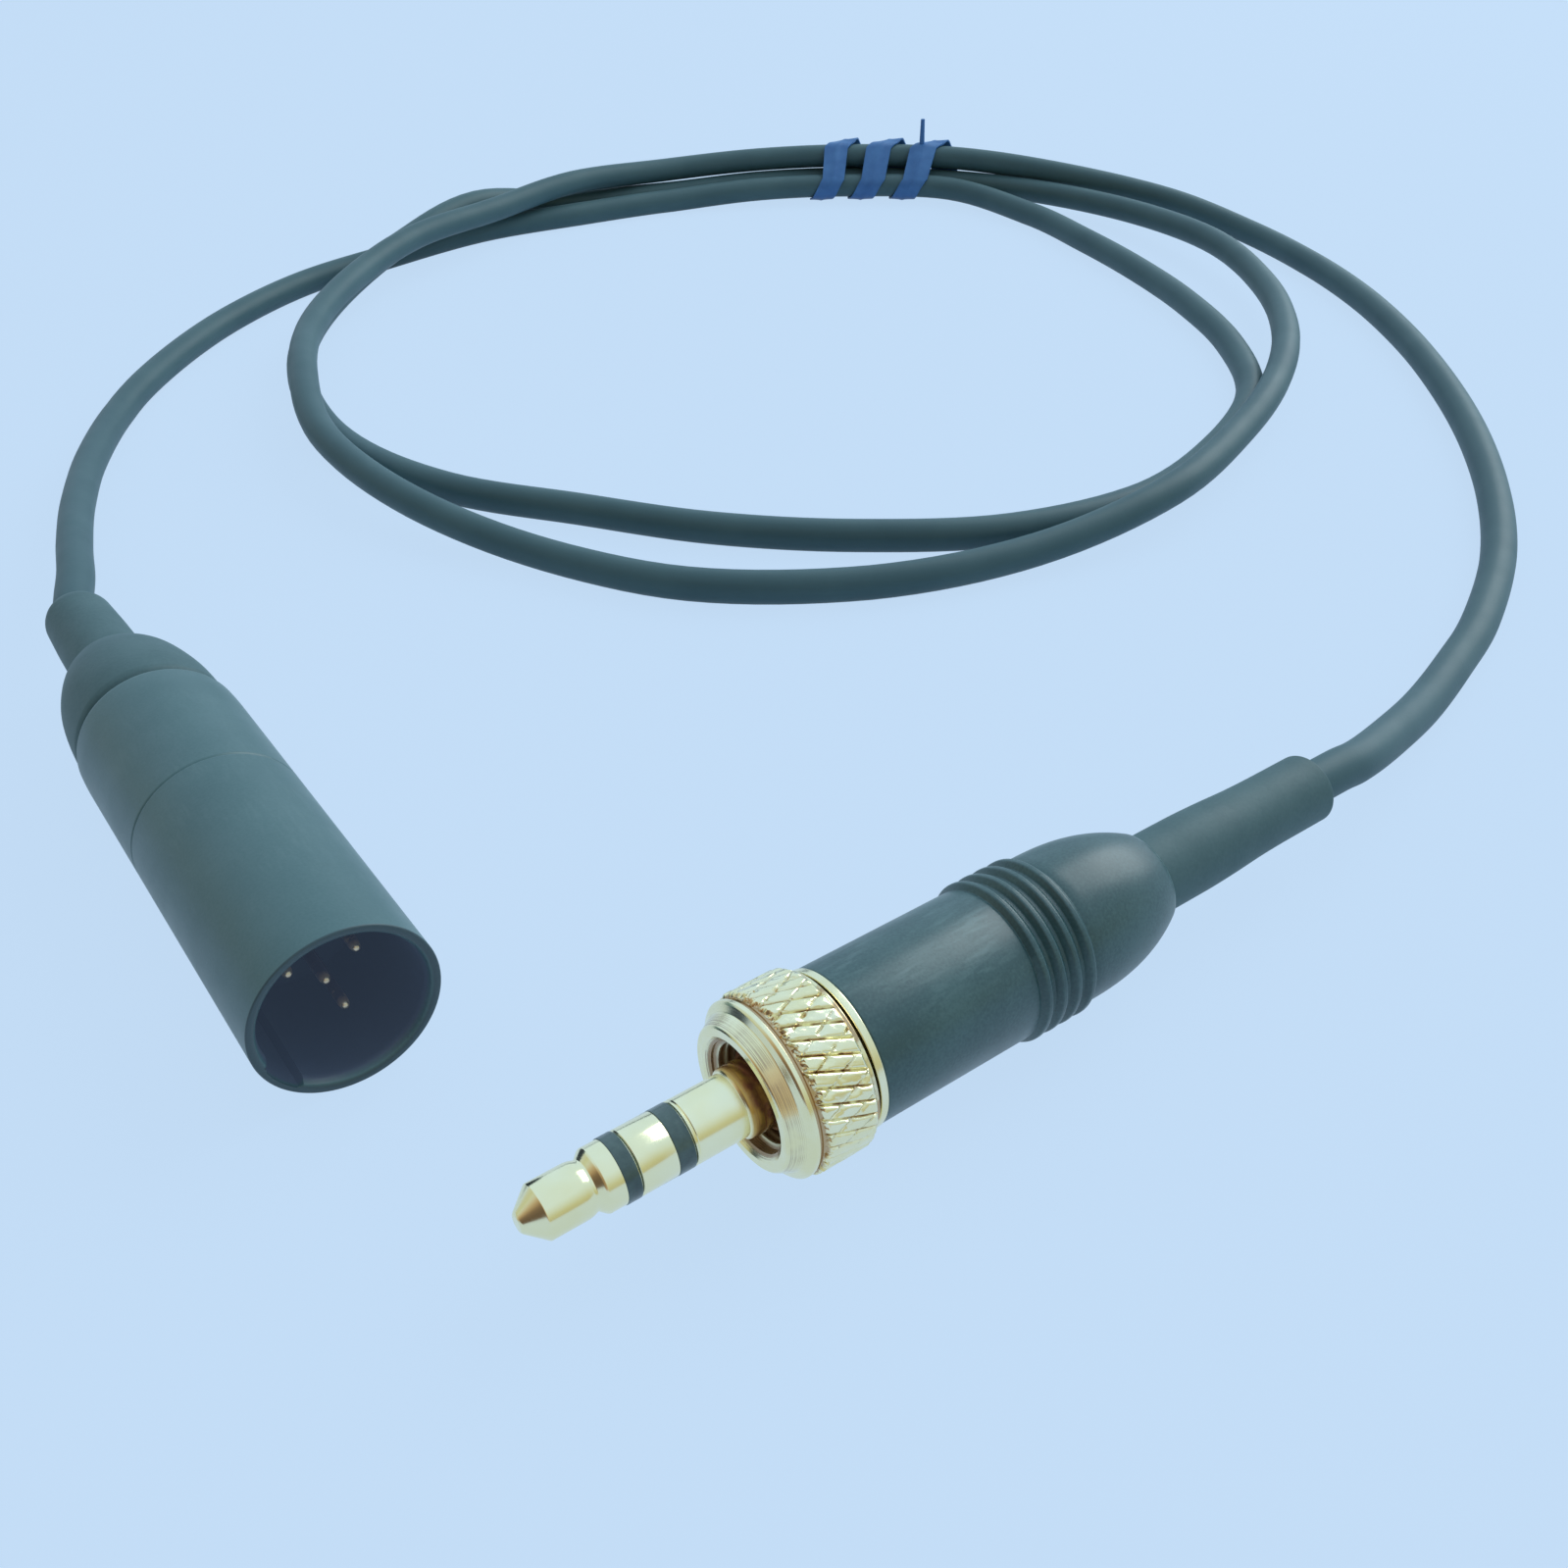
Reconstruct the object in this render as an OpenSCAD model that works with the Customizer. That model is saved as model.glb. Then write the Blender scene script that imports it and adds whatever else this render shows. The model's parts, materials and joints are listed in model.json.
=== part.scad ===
// Coiled adapter cable: four-pin mini-XLR plug to 3.5 mm jack with a captive lock ring.
// Millimetres, +Z up, the table at z = 0. Stations along a plug are measured from its mating end.

/* [Jack plug] */
// Diameter of the jack's shaft
jack_d = 3.5; // [3.4:0.05:3.6]
// Length of the nose cone ahead of the tip's cylinder
nose_len = 1.15; // [0.9:0.05:1.3]
// Length of the tip's cylinder, back to its step
head_len = 2.95; // [2.6:0.05:3.3]
// Length of the tip's neck, back to the first insulating band
neck_len = 0.95; // [0.8:0.05:1.2]
// Width of the front insulating band
band_front_len = 0.8; // [0.6:0.05:1.0]
// Length of the ring contact
ring_contact_len = 2.1; // [1.8:0.05:2.4]
// Width of the rear insulating band
band_rear_len = 0.95; // [0.6:0.05:1.1]
// Length of the sleeve contact ahead of the stem
sleeve_contact_len = 3.15; // [2.8:0.05:3.6]
// Diameter of the stem's front step
stem_front_d = 3.9; // [3.7:0.05:4.1]
// Length of the stem's front step
stem_front_len = 1.7; // [1.3:0.1:2.1]
// Diameter of the stem behind that step
stem_d = 4.6; // [4.4:0.05:4.7]
// Length of the stem ahead of the lock ring's web
stem_len = 3; // [2.6:0.1:3.4]

/* [Lock ring] */
// Diameter over the knurl
lock_d = 10.2; // [9.9:0.1:10.6]
// Length of the lock ring
lock_len = 5.2; // [5:0.05:5.4]
// Thickness of the web that turns on the stem
web_len = 1.05; // [0.8:0.05:1.3]
// Major diameter of the internal thread
thread_d = 6.3; // [6.1:0.05:6.5]
// Pitch of the internal thread
thread_pitch = 0.5; // [0.45:0.05:0.6]
// Number of knurl teeth
knurl_teeth = 36; // [30:1:48]
// Depth of the knurl
knurl_depth = 0.25; // [0.15:0.05:0.3]
// Diameter of the journal that the lock ring turns on
journal_d = 4.8; // [4.75:0.05:5]
// Radial running clearance of the lock ring on its journal
running_gap = 0.05; // [0.03:0.01:0.1]
// End float of the lock ring ahead of the collar
end_float = 0.25; // [0.15:0.05:0.4]

/* [Jack housing] */
// Diameter of the jack's shell
shell_d = 9; // [8.9:0.1:9.3]
// Diameter of the polished collar
collar_d = 9.1; // [9:0.05:9.4]
// Thickness of the polished collar
collar_len = 0.45; // [0.3:0.05:0.7]
// Length of the boss that the shell screws on
boss_len = 5.15; // [4.6:0.05:5.6]
// Wall of the shell over its bore
shell_wall = 0.6; // [0.5:0.05:0.7]
// Length of the shell's plain front stretch
shell_plain_len = 10.25; // [9.8:0.05:10.8]
// Number of grip ribs
rib_count = 4; // [3:1:5]
// Pitch of the grip ribs
rib_pitch = 1.05; // [0.95:0.05:1.15]
// Height of the grip ribs
rib_height = 0.28; // [0.15:0.01:0.4]
// Length of the shell's rounded tail
tail_len = 6.9; // [6.5:0.1:7.4]
// Diameter of the shell's rear rim
rim_d = 6; // [5.8:0.1:6.3]
// Diameter of the bend relief where it leaves the shell
boot_d = 4.9; // [4.7:0.1:5]
// Diameter of the bend relief at its cut end
boot_end_d = 4.44; // [4.2:0.02:4.6]
// Length of the bend relief outside the shell
boot_len = 14.8; // [12:0.1:18]

/* [Mini-XLR plug] */
// Diameter of the plug's shell
xlr_d = 10.9; // [10.7:0.1:11.3]
// Wall of the front shell
xlr_wall = 0.75; // [0.65:0.05:0.8]
// Length of the front shell, from the rim to its seam
xlr_front_len = 18.8; // [18.4:0.1:20]
// Length of the rear shell
xlr_rear_len = 11.8; // [11.4:0.1:12.6]
// Depth of the open socket, from the rim to the insert's face
xlr_socket_depth = 9; // [8.6:0.1:9.6]
// Thickness of the insert
xlr_insert_len = 4.6; // [4.2:0.1:5]
// Diameter of the contact pins
xlr_pin_d = 0.9; // [0.8:0.05:1]
// Radius of the circle of three outer pins
xlr_pin_circle_r = 2.4; // [2.2:0.05:2.6]
// Depth of the pin tips behind the rim
xlr_pin_recess = 2.7; // [2.5:0.1:3.6]
// Turn of the pin circle about the plug's axis
xlr_clocking = 33; // [25:1:40]
// Angle from the first outer pin to each of its neighbours
xlr_pin_spread = 107; // [100:1:120]
// Length of the soft rear cap
xlr_cap_len = 9.6; // [9:0.1:10.4]
// Diameter of the soft rear cap at its front edge
xlr_cap_d = 10.3; // [10.1:0.1:10.5]
// Diameter of the cable sleeve at the cap
xlr_sleeve_d = 5.4; // [5.2:0.1:5.6]
// Length of the cable sleeve behind the cap
xlr_sleeve_len = 9.1; // [8:0.1:10]

/* [Cable] */
// Diameter of the cable's jacket
cable_d = 2.8; // [2.7:0.05:2.8]
// Diameter of an insulated conductor
wire_d = 0.7; // [0.6:0.05:0.75]
// Width of the tie's ribbon
tie_w = 3.4; // [2.5:0.1:4]
// Thickness of the tie's ribbon
tie_t = 0.4; // [0.3:0.05:0.45]
// Pitch of the tie's turns along the bundle
tie_pitch = 6; // [5:0.1:7]

/* [Hidden] */
$fn = 72;

black = [0.10, 0.14, 0.16];
grey = [0.20, 0.26, 0.28];
gold = [0.83, 0.78, 0.52];
copper = [0.72, 0.45, 0.25];
nickel = [0.75, 0.76, 0.76];
blue = [0.20, 0.38, 0.62];

// Clearances between fitted pieces.
seat_gap = 0.02;
cable_gap = 0.05;

// Jack stations, from the front edge of the tip's cylinder.
jack_r = jack_d / 2;
t_neck = head_len;
t_band_front = t_neck + neck_len;
t_ring = t_band_front + band_front_len;
t_band_rear = t_ring + ring_contact_len;
t_sleeve = t_band_rear + band_rear_len;
t_stem = t_sleeve + sleeve_contact_len;
t_stem_rear = t_stem + stem_front_len;
t_web = t_stem_rear + stem_len;
t_web_end = t_web + web_len;
t_mouth = t_web_end - lock_len;
t_collar = t_web_end + end_float;
t_shell = t_collar + collar_len;
t_boss_end = t_shell + boss_len;
t_ribs = t_shell + shell_plain_len;
rib_lead = 0.7;
t_tail = t_ribs + rib_count * rib_pitch + rib_lead;
t_rim = t_tail + tail_len;
t_boot_end = t_rim + boot_len;

// Concentric layers of the jack's contacts.
rod_r = 0.5;
layer_t = 0.26;
front_tube_r = rod_r + layer_t;
ring_tube_r = front_tube_r + layer_t;
rear_tube_r = ring_tube_r + layer_t;
band_relief = 0.03;
flange_t = 0.6;
lug_t = 0.5;
washer_t = 0.6;
rivet_t = 0.4;
rivet_r = 0.8;
t_ring_lug = t_boss_end + flange_t;
t_washer = t_ring_lug + lug_t;
t_tip_lug = t_washer + washer_t;
t_rod_end = t_tip_lug + lug_t;
flange_r = 2.2;
washer_r = 1.45;
tip_lug_r = 1.4;
ring_lug_r = 2;
tongue_t = 0.4;
tongue_w = 1.4;
t_tongue_end = t_rod_end + 3;
t_jacket_front = t_tongue_end + 1.4;

// Shell and its contents.
shell_bore = shell_d - 2 * shell_wall;
boss_r = shell_bore / 2 - cable_gap;
liner_t = 0.3;
liner_r = shell_bore / 2 - cable_gap;
t_liner = t_boss_end + 0.1;
t_liner_end = t_ribs + 3;
tail_bore_r = boot_d / 2 + cable_gap;
t_bore_end = t_tail + 0.3;
t_neck_bore = t_tail + 3.6;
strap_r = liner_r - liner_t - 0.62;
strap_w = 2;
t_clamp = t_jacket_front + 0.5;
clamp_len = 2;
clamp_t = 0.4;
t_boot_flange = t_tail + 1.2;
boot_flange_len = 1.2;
boot_flange_r = tail_bore_r + 0.25;

// Lock ring details.
lock_r = lock_d / 2;
t_knurl = t_mouth + 1.6;
t_knurl_end = t_web_end - 0.35;
thread_depth = 0.25;
thread_turns = floor((t_web - 0.6 - t_mouth - 0.3) / thread_pitch);
clip_t = 0.35;
clip_r = journal_d / 2 + 0.4;
clip_gap = 0.15;

// Mini-XLR stations, from the rim.
xlr_r = xlr_d / 2;
xlr_bore_r = xlr_r - xlr_wall;
xlr_seat_r = xlr_bore_r + 0.15;
xlr_spigot_r = xlr_seat_r - seat_gap;
u_insert_end = xlr_socket_depth + xlr_insert_len;
u_seam = xlr_front_len;
u_rear_end = u_seam + xlr_rear_len;
xlr_spigot_bore_r = xlr_spigot_r - 0.65;
xlr_rear_bore_r = xlr_r - xlr_wall - 0.1;
u_clamp = u_seam + 3.4;
xlr_clamp_len = 4;
u_cap_spigot = u_clamp + xlr_clamp_len + 0.4;
groove_w = 0.5;
groove_r = xlr_cap_d / 2 - 0.15;
u_cap = u_rear_end + groove_w;
u_cap_end = u_cap + xlr_cap_len;
xlr_cap_end_d = xlr_sleeve_d + 0.3;
u_exit = u_cap_end + xlr_sleeve_len;
pin_cup_r = 0.62;
pin_cup_len = 3.6;
u_jacket = u_seam + 2.2;
keyway_w = 2.6;
keyway_depth = 0.3;
keyway_turn = xlr_clocking + 180;

// Places of the plugs' axes. Each plug is held at its cable end, so the cable stays on it.
jack_exit_x = 30.9;
jack_y = -31;
jack_z = lock_r;
xlr_x = -25.4;
xlr_exit_y = 36.05;
xlr_z = xlr_r;

// Route of the cable: a lead from the mini-XLR, two and a third turns, a lead to the jack.
lead_xlr = [
  [xlr_x, xlr_exit_y, xlr_z], [xlr_x, xlr_exit_y + 1, xlr_z], [-24.75, 39.4, 5.4], [-23.5, 43.6, 5.1],
  [-22, 50, 4.4], [-19.4, 59.2, 3.4], [-15.4, 70, 2.3], [-9.6, 81.2, 1.4], [-2, 90.3, 1.4],
  [7.6, 98.4, 1.4], [18.4, 104.1, 1.4]
];
lead_jack = [
  [116.2, 60.5, 2.8], [117.6, 49, 1.6], [115.3, 38, 1.4], [111, 27, 1.4], [105, 16.4, 1.4],
  [98, 6.7, 1.4], [90, -2.5, 1.4], [81, -10.9, 1.4], [72, -17.5, 1.4], [62.5, -22.5, 1.4],
  [55, -25.3, 1.6], [48, -27.7, 2.4], [41.5, -29.6, 3.7], [36.5, -30.8, 4.7],
  [jack_exit_x + 3, jack_y, jack_z], [jack_exit_x, jack_y, jack_z]
];
// The turns: radius and height of the cable's middle every coil_step degrees, clockwise from above.
coil_centre = [57, 59];
coil_start = 120;
coil_step = 15;
turn_1_r = [
  54.8, 51, 47.2, 46.1, 46, 47.1, 49.1, 46.4, 43.2, 42.3, 43.3, 45.8,
  48.8, 50.1, 51.6, 50.7, 48.4, 47.1, 46.9, 49.6, 51.6, 52.4, 53, 53
];
turn_1_z = [
  1.4, 1.4, 1.4, 1.4, 1.9, 2, 1.9, 1.4, 1.4, 1.4, 1.4, 1.4,
  1.4, 1.4, 1.4, 1.4, 1.4, 1.4, 1.4, 1.4, 1.4, 1.4, 1.4, 1.7
];
turn_2_r = [
  52, 51.6, 51, 49, 48.9, 50.2, 52.2, 52.6, 52.9, 52.7, 51.9, 51.2,
  51.1, 52.1, 54.5, 55.2, 56.3, 56.6, 55, 54.9, 54.2, 52.3, 51.5, 50.4
];
turn_2_z = [
  3.4, 4.7, 2, 1.5, 1.9, 2, 1.9, 2.2, 2.6, 3.1, 3, 3.2,
  3.5, 3.6, 3.3, 1.8, 1.4, 1.4, 1.5, 2.8, 3.7, 4.4, 4, 4.2
];
turn_3_r = [49.4, 48.2, 49.2, 50, 49.9, 50.4, 53, 55.3];
turn_3_z = [4.7, 4.5, 4.8, 4.2, 4.58, 4.9, 4.68, 4];
coil_r = concat(turn_1_r, turn_2_r, turn_3_r);
coil_z = concat(turn_1_z, turn_2_z, turn_3_z);
coil_turn = 360 / coil_step;

function polar(a, r, z) = [coil_centre[0] + r * cos(a), coil_centre[1] + r * sin(a), z];
coil = [for (i = [0:len(coil_r) - 1]) polar(coil_start - i * coil_step, coil_r[i], coil_z[i])];
route = concat(lead_xlr, coil, lead_jack);
coil_first = len(lead_xlr);
coil_last = coil_first + len(coil) - 1;

cable_sides = 8;

function unit(v) = v / norm(v);
function heading(p, i) = unit(p[min(i + 1, len(p) - 1)] - p[max(i - 1, 0)]);
function ring_at(p, i, r, up) =
  let (t = heading(p, i), s = unit(cross(t, up)), u = cross(s, t))
  [for (k = [0:cable_sides - 1])
    let (a = (k + 0.5) * 360 / cable_sides) p[i] + r * (cos(a) * s + sin(a) * u)];

// A tube with flat ends along the points p, from index first to index last. It never runs along up.
module tube(p, first, last, r, up = [0, 0, 1]) {
  n = last - first + 1;
  m = cable_sides;
  points = [for (i = [first:last]) each ring_at(p, i, r, up)];
  sides = [for (i = [0:n - 2], k = [0:m - 1])
    let (a = i * m + k, b = i * m + (k + 1) % m)
    each [[a, b + m, a + m], [a, b, b + m]]];
  caps = [[for (k = [m - 1:-1:0]) k], [for (k = [0:m - 1]) (n - 1) * m + k]];
  polyhedron(points, concat(sides, caps), convexity = 10);
}

// Places of a plug: its own z axis runs from the mating end to the cable.
module on_jack() {
  translate([jack_exit_x - t_boot_end, jack_y, jack_z]) rotate([0, 90, 0]) children();
}

module on_xlr() {
  translate([xlr_x, xlr_exit_y - u_exit, xlr_z]) rotate([-90, 0, 0]) children();
}

// A tube of length h from station t, with outer radius r and bore b.
module bush(t, h, r, b) {
  translate([0, 0, t])
    difference() {
      cylinder(h = h, r = r);
      translate([0, 0, -1]) cylinder(h = h + 2, r = b);
    }
}

// Gentle curve from radius r0 to r1, as s runs from 0 to 1, which steepens towards the end.
function swell(r0, r1, s, power) = r0 + (r1 - r0) * pow(s, power);

// ---- Mini-XLR plug ----

module xlr_shell() {
  lip = 0.12;
  color(black) on_xlr()
    difference() {
      rotate_extrude() polygon([
        [xlr_bore_r + lip, 0], [xlr_r - lip, 0], [xlr_r, lip], [xlr_r, u_seam],
        [xlr_seat_r, u_seam], [xlr_seat_r, xlr_socket_depth], [xlr_bore_r, xlr_socket_depth],
        [xlr_bore_r, lip]
      ]);
      rotate([0, 0, -keyway_turn])
        translate([0, -keyway_w / 2, -1])
          cube([xlr_bore_r + keyway_depth, keyway_w, xlr_socket_depth]);
    }
}

module xlr_rear_shell() {
  step = 0.06;
  taper = 1.8;
  color(black) on_xlr()
    rotate_extrude() polygon([
      [xlr_spigot_bore_r, u_insert_end], [xlr_spigot_r, u_insert_end], [xlr_spigot_r, u_seam],
      [xlr_r - step, u_seam], [xlr_r, u_seam + step], [xlr_r, u_rear_end - taper],
      [xlr_r - step, u_rear_end - 0.3], [xlr_r - 0.25, u_rear_end], [xlr_rear_bore_r, u_rear_end],
      [xlr_rear_bore_r, u_clamp], [xlr_spigot_bore_r, u_clamp]
    ]);
}

// Angle of each outer pin about the plug's axis, and its place.
function pin_place(i) =
  let (a = xlr_clocking + [0, 0, 1, -1][i] * xlr_pin_spread)
  i == 0 ? [0, 0] : xlr_pin_circle_r * [cos(a), -sin(a)];

module xlr_insert() {
  rim = 0.35;
  color(grey) on_xlr()
    difference() {
      translate([0, 0, xlr_socket_depth])
        cylinder(h = xlr_insert_len, r = xlr_spigot_r);
      for (i = [0:3])
        translate([pin_place(i)[0], pin_place(i)[1], xlr_socket_depth - 1])
          cylinder(h = xlr_insert_len + 2, d = xlr_pin_d);
      translate([0, 0, u_insert_end - rim])
        cylinder(h = rim + 1, r = pin_cup_r * 0.9 + xlr_pin_circle_r * 0.2);
    }
}

// A contact with a rounded tip ahead, a shoulder behind the insert and a solder cup.
module xlr_pin(i) {
  tip_r = xlr_pin_d / 2;
  cup_depth = 2.2;
  bore = wire_d / 2 + 0.06;
  color(gold) on_xlr()
    translate([pin_place(i)[0], pin_place(i)[1], 0])
      rotate_extrude() polygon(concat(
        [for (a = [0:15:90]) [tip_r * sin(a), xlr_pin_recess + tip_r * (1 - cos(a))]],
        [[tip_r, u_insert_end], [pin_cup_r, u_insert_end], [pin_cup_r, u_insert_end + pin_cup_len],
         [bore, u_insert_end + pin_cup_len], [bore, u_insert_end + pin_cup_len - cup_depth],
         [0, u_insert_end + pin_cup_len - cup_depth]]
      ));
}

module xlr_pin_1() { xlr_pin(1); }
module xlr_pin_2() { xlr_pin(2); }
module xlr_pin_3() { xlr_pin(3); }
module xlr_pin_4() { xlr_pin(0); }

module xlr_cable_clamp() {
  slit = 0.6;
  color(grey) on_xlr()
    difference() {
      bush(u_clamp, xlr_clamp_len, xlr_rear_bore_r - seat_gap, cable_d / 2 + seat_gap);
      translate([0, -slit / 2, u_clamp - 1]) cube([xlr_r, slit, xlr_clamp_len + 2]);
    }
}

module xlr_rear_cap() {
  cap_r = xlr_cap_d / 2;
  spigot_r = xlr_rear_bore_r - seat_gap;
  color(black) on_xlr()
    rotate_extrude() polygon(concat(
      [[xlr_sleeve_d / 2, u_cap_spigot], [spigot_r, u_cap_spigot], [spigot_r, u_rear_end],
       [groove_r, u_rear_end], [groove_r, u_cap - 0.1], [cap_r - 0.1, u_cap]],
      [for (i = [0:10])
        let (s = 0.02 + i * 0.098)
        [swell(cap_r, xlr_cap_end_d / 2, s, 2.8), u_cap + s * xlr_cap_len]],
      [[xlr_sleeve_d / 2, u_cap_end]]
    ));
}

module xlr_cable_sleeve() {
  inner = cable_d / 2 + cable_gap;
  end_r = xlr_sleeve_d / 2 - 0.4;
  round_r = 0.5;
  color(black) on_xlr()
    rotate_extrude() polygon([
      [inner, u_cap_spigot], [xlr_sleeve_d / 2, u_cap_spigot], [xlr_sleeve_d / 2, u_cap_end],
      [end_r, u_exit - round_r], [end_r - 0.15, u_exit - 0.15], [end_r - round_r, u_exit],
      [inner, u_exit]
    ]);
}

module xlr_cable_end() {
  color(grey) on_xlr()
    translate([0, 0, u_jacket]) cylinder(h = u_exit - u_jacket, d = cable_d);
}

// A conductor from the stripped jacket into the solder cup of pin i.
module xlr_wire(i, tint) {
  start = pin_place(i) * 0.3;
  finish = pin_place(i);
  cup_floor = u_insert_end + pin_cup_len - 2.2;
  cup_mouth = u_insert_end + pin_cup_len;
  p = [
    [start[0], start[1], u_jacket], [start[0], start[1], u_jacket - 0.9],
    [finish[0], finish[1], cup_mouth + 0.7], [finish[0], finish[1], cup_floor]
  ];
  color(tint) on_xlr() tube(p, 0, 3, wire_d / 2, [1, 0, 0]);
}

module xlr_wire_1() { xlr_wire(1, copper); }
module xlr_wire_2() { xlr_wire(2, nickel); }
module xlr_wire_3() { xlr_wire(3, blue); }

// ---- Jack plug ----

module jack_tip() {
  nose_r = 0.55;
  neck_r = jack_r - band_relief;
  color(gold) on_jack()
    rotate_extrude() polygon([
      [0, -nose_len], [nose_r * 0.75, -nose_len + 0.05], [nose_r, -nose_len + 0.25],
      [jack_r - 0.3, -0.06], [jack_r - 0.27, 0], [jack_r - 0.27, 1.4], [jack_r - 0.43, head_len - 0.65],
      [jack_r - 0.43, head_len - 0.2], [neck_r - 0.12, t_neck], [neck_r, t_neck + 0.12],
      [neck_r, t_band_front], [rod_r, t_band_front], [rod_r, t_rod_end], [rivet_r, t_rod_end],
      [rivet_r, t_rod_end + rivet_t], [0, t_rod_end + rivet_t]
    ]);
}

module jack_front_insulator() {
  color(black) on_jack() {
    bush(t_band_front, band_front_len, jack_r - band_relief, rod_r);
    bush(t_band_front, t_tip_lug - t_band_front, front_tube_r, rod_r);
  }
}

module jack_ring_contact() {
  color(gold) on_jack() {
    bush(t_ring, ring_contact_len, jack_r, front_tube_r);
    bush(t_ring, t_washer - t_ring, ring_tube_r, front_tube_r);
  }
}

module jack_rear_insulator() {
  color(black) on_jack() {
    bush(t_band_rear, band_rear_len, jack_r - band_relief, ring_tube_r);
    bush(t_band_rear, t_ring_lug - t_band_rear, rear_tube_r, ring_tube_r);
    bush(t_boss_end, flange_t, flange_r, ring_tube_r);
  }
}

module jack_sleeve() {
  edge = 0.1;
  groove_t = clip_t + 0.05;
  color(gold) on_jack()
    rotate_extrude() polygon([
      [rear_tube_r, t_sleeve], [jack_r, t_sleeve], [jack_r, t_stem],
      [stem_front_d / 2 - edge, t_stem], [stem_front_d / 2, t_stem + edge],
      [stem_front_d / 2, t_stem_rear], [stem_d / 2 - edge, t_stem_rear],
      [stem_d / 2, t_stem_rear + edge], [stem_d / 2, t_web - clip_gap - groove_t],
      [stem_d / 2 - 0.2, t_web - clip_gap - groove_t], [stem_d / 2 - 0.2, t_web - clip_gap],
      [journal_d / 2, t_web - clip_gap], [journal_d / 2, t_boss_end], [rear_tube_r, t_boss_end]
    ]);
}

module lock_ring_clip() {
  gap_w = 1.2;
  color(nickel) on_jack()
    difference() {
      bush(t_web - clip_gap - clip_t, clip_t, clip_r, stem_d / 2 - 0.2);
      translate([-clip_r - 1, -gap_w / 2, t_web - 2]) cube([clip_r, gap_w, 4]);
    }
}

module lock_ring() {
  mouth_r = thread_d / 2;
  root_r = mouth_r - 0.05;
  crest_r = root_r - thread_depth;
  land_r = lock_r - knurl_depth - 0.08;
  relief = 0.6;
  thread = [for (i = [0:thread_turns - 1])
    let (t = t_mouth + 0.3 + i * thread_pitch)
    each [[root_r, t], [crest_r, t + 0.4 * thread_pitch], [crest_r, t + 0.6 * thread_pitch]]];
  inside = concat(
    [[mouth_r + 0.3, t_mouth], [mouth_r, t_mouth + 0.25]], thread,
    [[root_r, t_mouth + 0.3 + thread_turns * thread_pitch], [root_r, t_web],
     [journal_d / 2 + running_gap, t_web], [journal_d / 2 + running_gap, t_web_end]]);
  outside = [
    [land_r - 0.04, t_web_end], [land_r, t_web_end - 0.04], [land_r, t_mouth + 1.4],
    [lock_r - 0.17, t_mouth + 1.35], [lock_r - 0.17, t_mouth + 1.05], [lock_r - 0.65, t_mouth + 0.85],
    [lock_r - 1.05, t_mouth + 0.1], [lock_r - 1.15, t_mouth]
  ];
  color(gold) on_jack() {
    rotate_extrude() polygon(concat(inside, outside));
    difference() {
      translate([0, 0, t_knurl])
        linear_extrude(t_knurl_end - t_knurl)
          polygon([for (i = [0:knurl_teeth - 1])
            let (a = i * 360 / knurl_teeth, w = 360 / knurl_teeth)
            each [
              (lock_r - knurl_depth) * [cos(a - 0.45 * w), sin(a - 0.45 * w)],
              lock_r * [cos(a - 0.15 * w), sin(a - 0.15 * w)],
              lock_r * [cos(a + 0.15 * w), sin(a + 0.15 * w)]
            ]]);
      translate([0, 0, t_knurl - 1])
        cylinder(h = t_knurl_end - t_knurl + 2, r = lock_r - relief);
    }
  }
}

module jack_collar() {
  edge = 0.08;
  color(gold) on_jack()
    rotate_extrude() polygon([
      [journal_d / 2, t_collar], [collar_d / 2 - edge, t_collar], [collar_d / 2, t_collar + edge],
      [collar_d / 2, t_shell - edge], [collar_d / 2 - edge, t_shell], [boss_r, t_shell],
      [boss_r, t_boss_end], [journal_d / 2, t_boss_end]
    ]);
}

module jack_shell() {
  r = shell_d / 2;
  ribs = [for (i = [0:rib_count - 1])
    let (t = t_ribs + i * rib_pitch)
    each [[r, t + 0.12], [r + rib_height, t + 0.3], [r + rib_height, t + 0.75], [r, t + 0.93]]];
  tail = [for (i = [0:9])
    let (s = i / 9) [swell(r, rim_d / 2, s, 2.4), t_tail + s * tail_len]];
  color(black) on_jack()
    rotate_extrude() polygon(concat(
      [[shell_bore / 2, t_shell], [r - 0.08, t_shell], [r, t_shell + 0.08]],
      ribs, tail,
      [[tail_bore_r, t_rim], [tail_bore_r, t_neck_bore], [shell_bore / 2, t_bore_end - 1.4]]
    ));
}

module jack_liner() {
  color(grey) on_jack() bush(t_liner, t_liner_end - t_liner, liner_r, liner_r - liner_t);
}

// A lug: a washer on its contact's tube, and a tongue that runs back at the side "turn".
module lug(t, r, bore, turn, tongue_r) {
  bush(t, lug_t, r, bore);
  rotate([0, 0, turn])
    translate([tongue_r - tongue_t, -tongue_w / 2, t])
      cube([tongue_t, tongue_w, t_tongue_end - t]);
}

module jack_ring_lug() {
  color(nickel) on_jack() lug(t_ring_lug, ring_lug_r, ring_tube_r, 180, ring_lug_r);
}

module jack_tip_lug() {
  color(nickel) on_jack() lug(t_tip_lug, tip_lug_r, rod_r, 0, tip_lug_r);
}

module jack_lug_washer() {
  color(grey) on_jack() bush(t_washer, washer_t, washer_r, front_tube_r);
}

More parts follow.
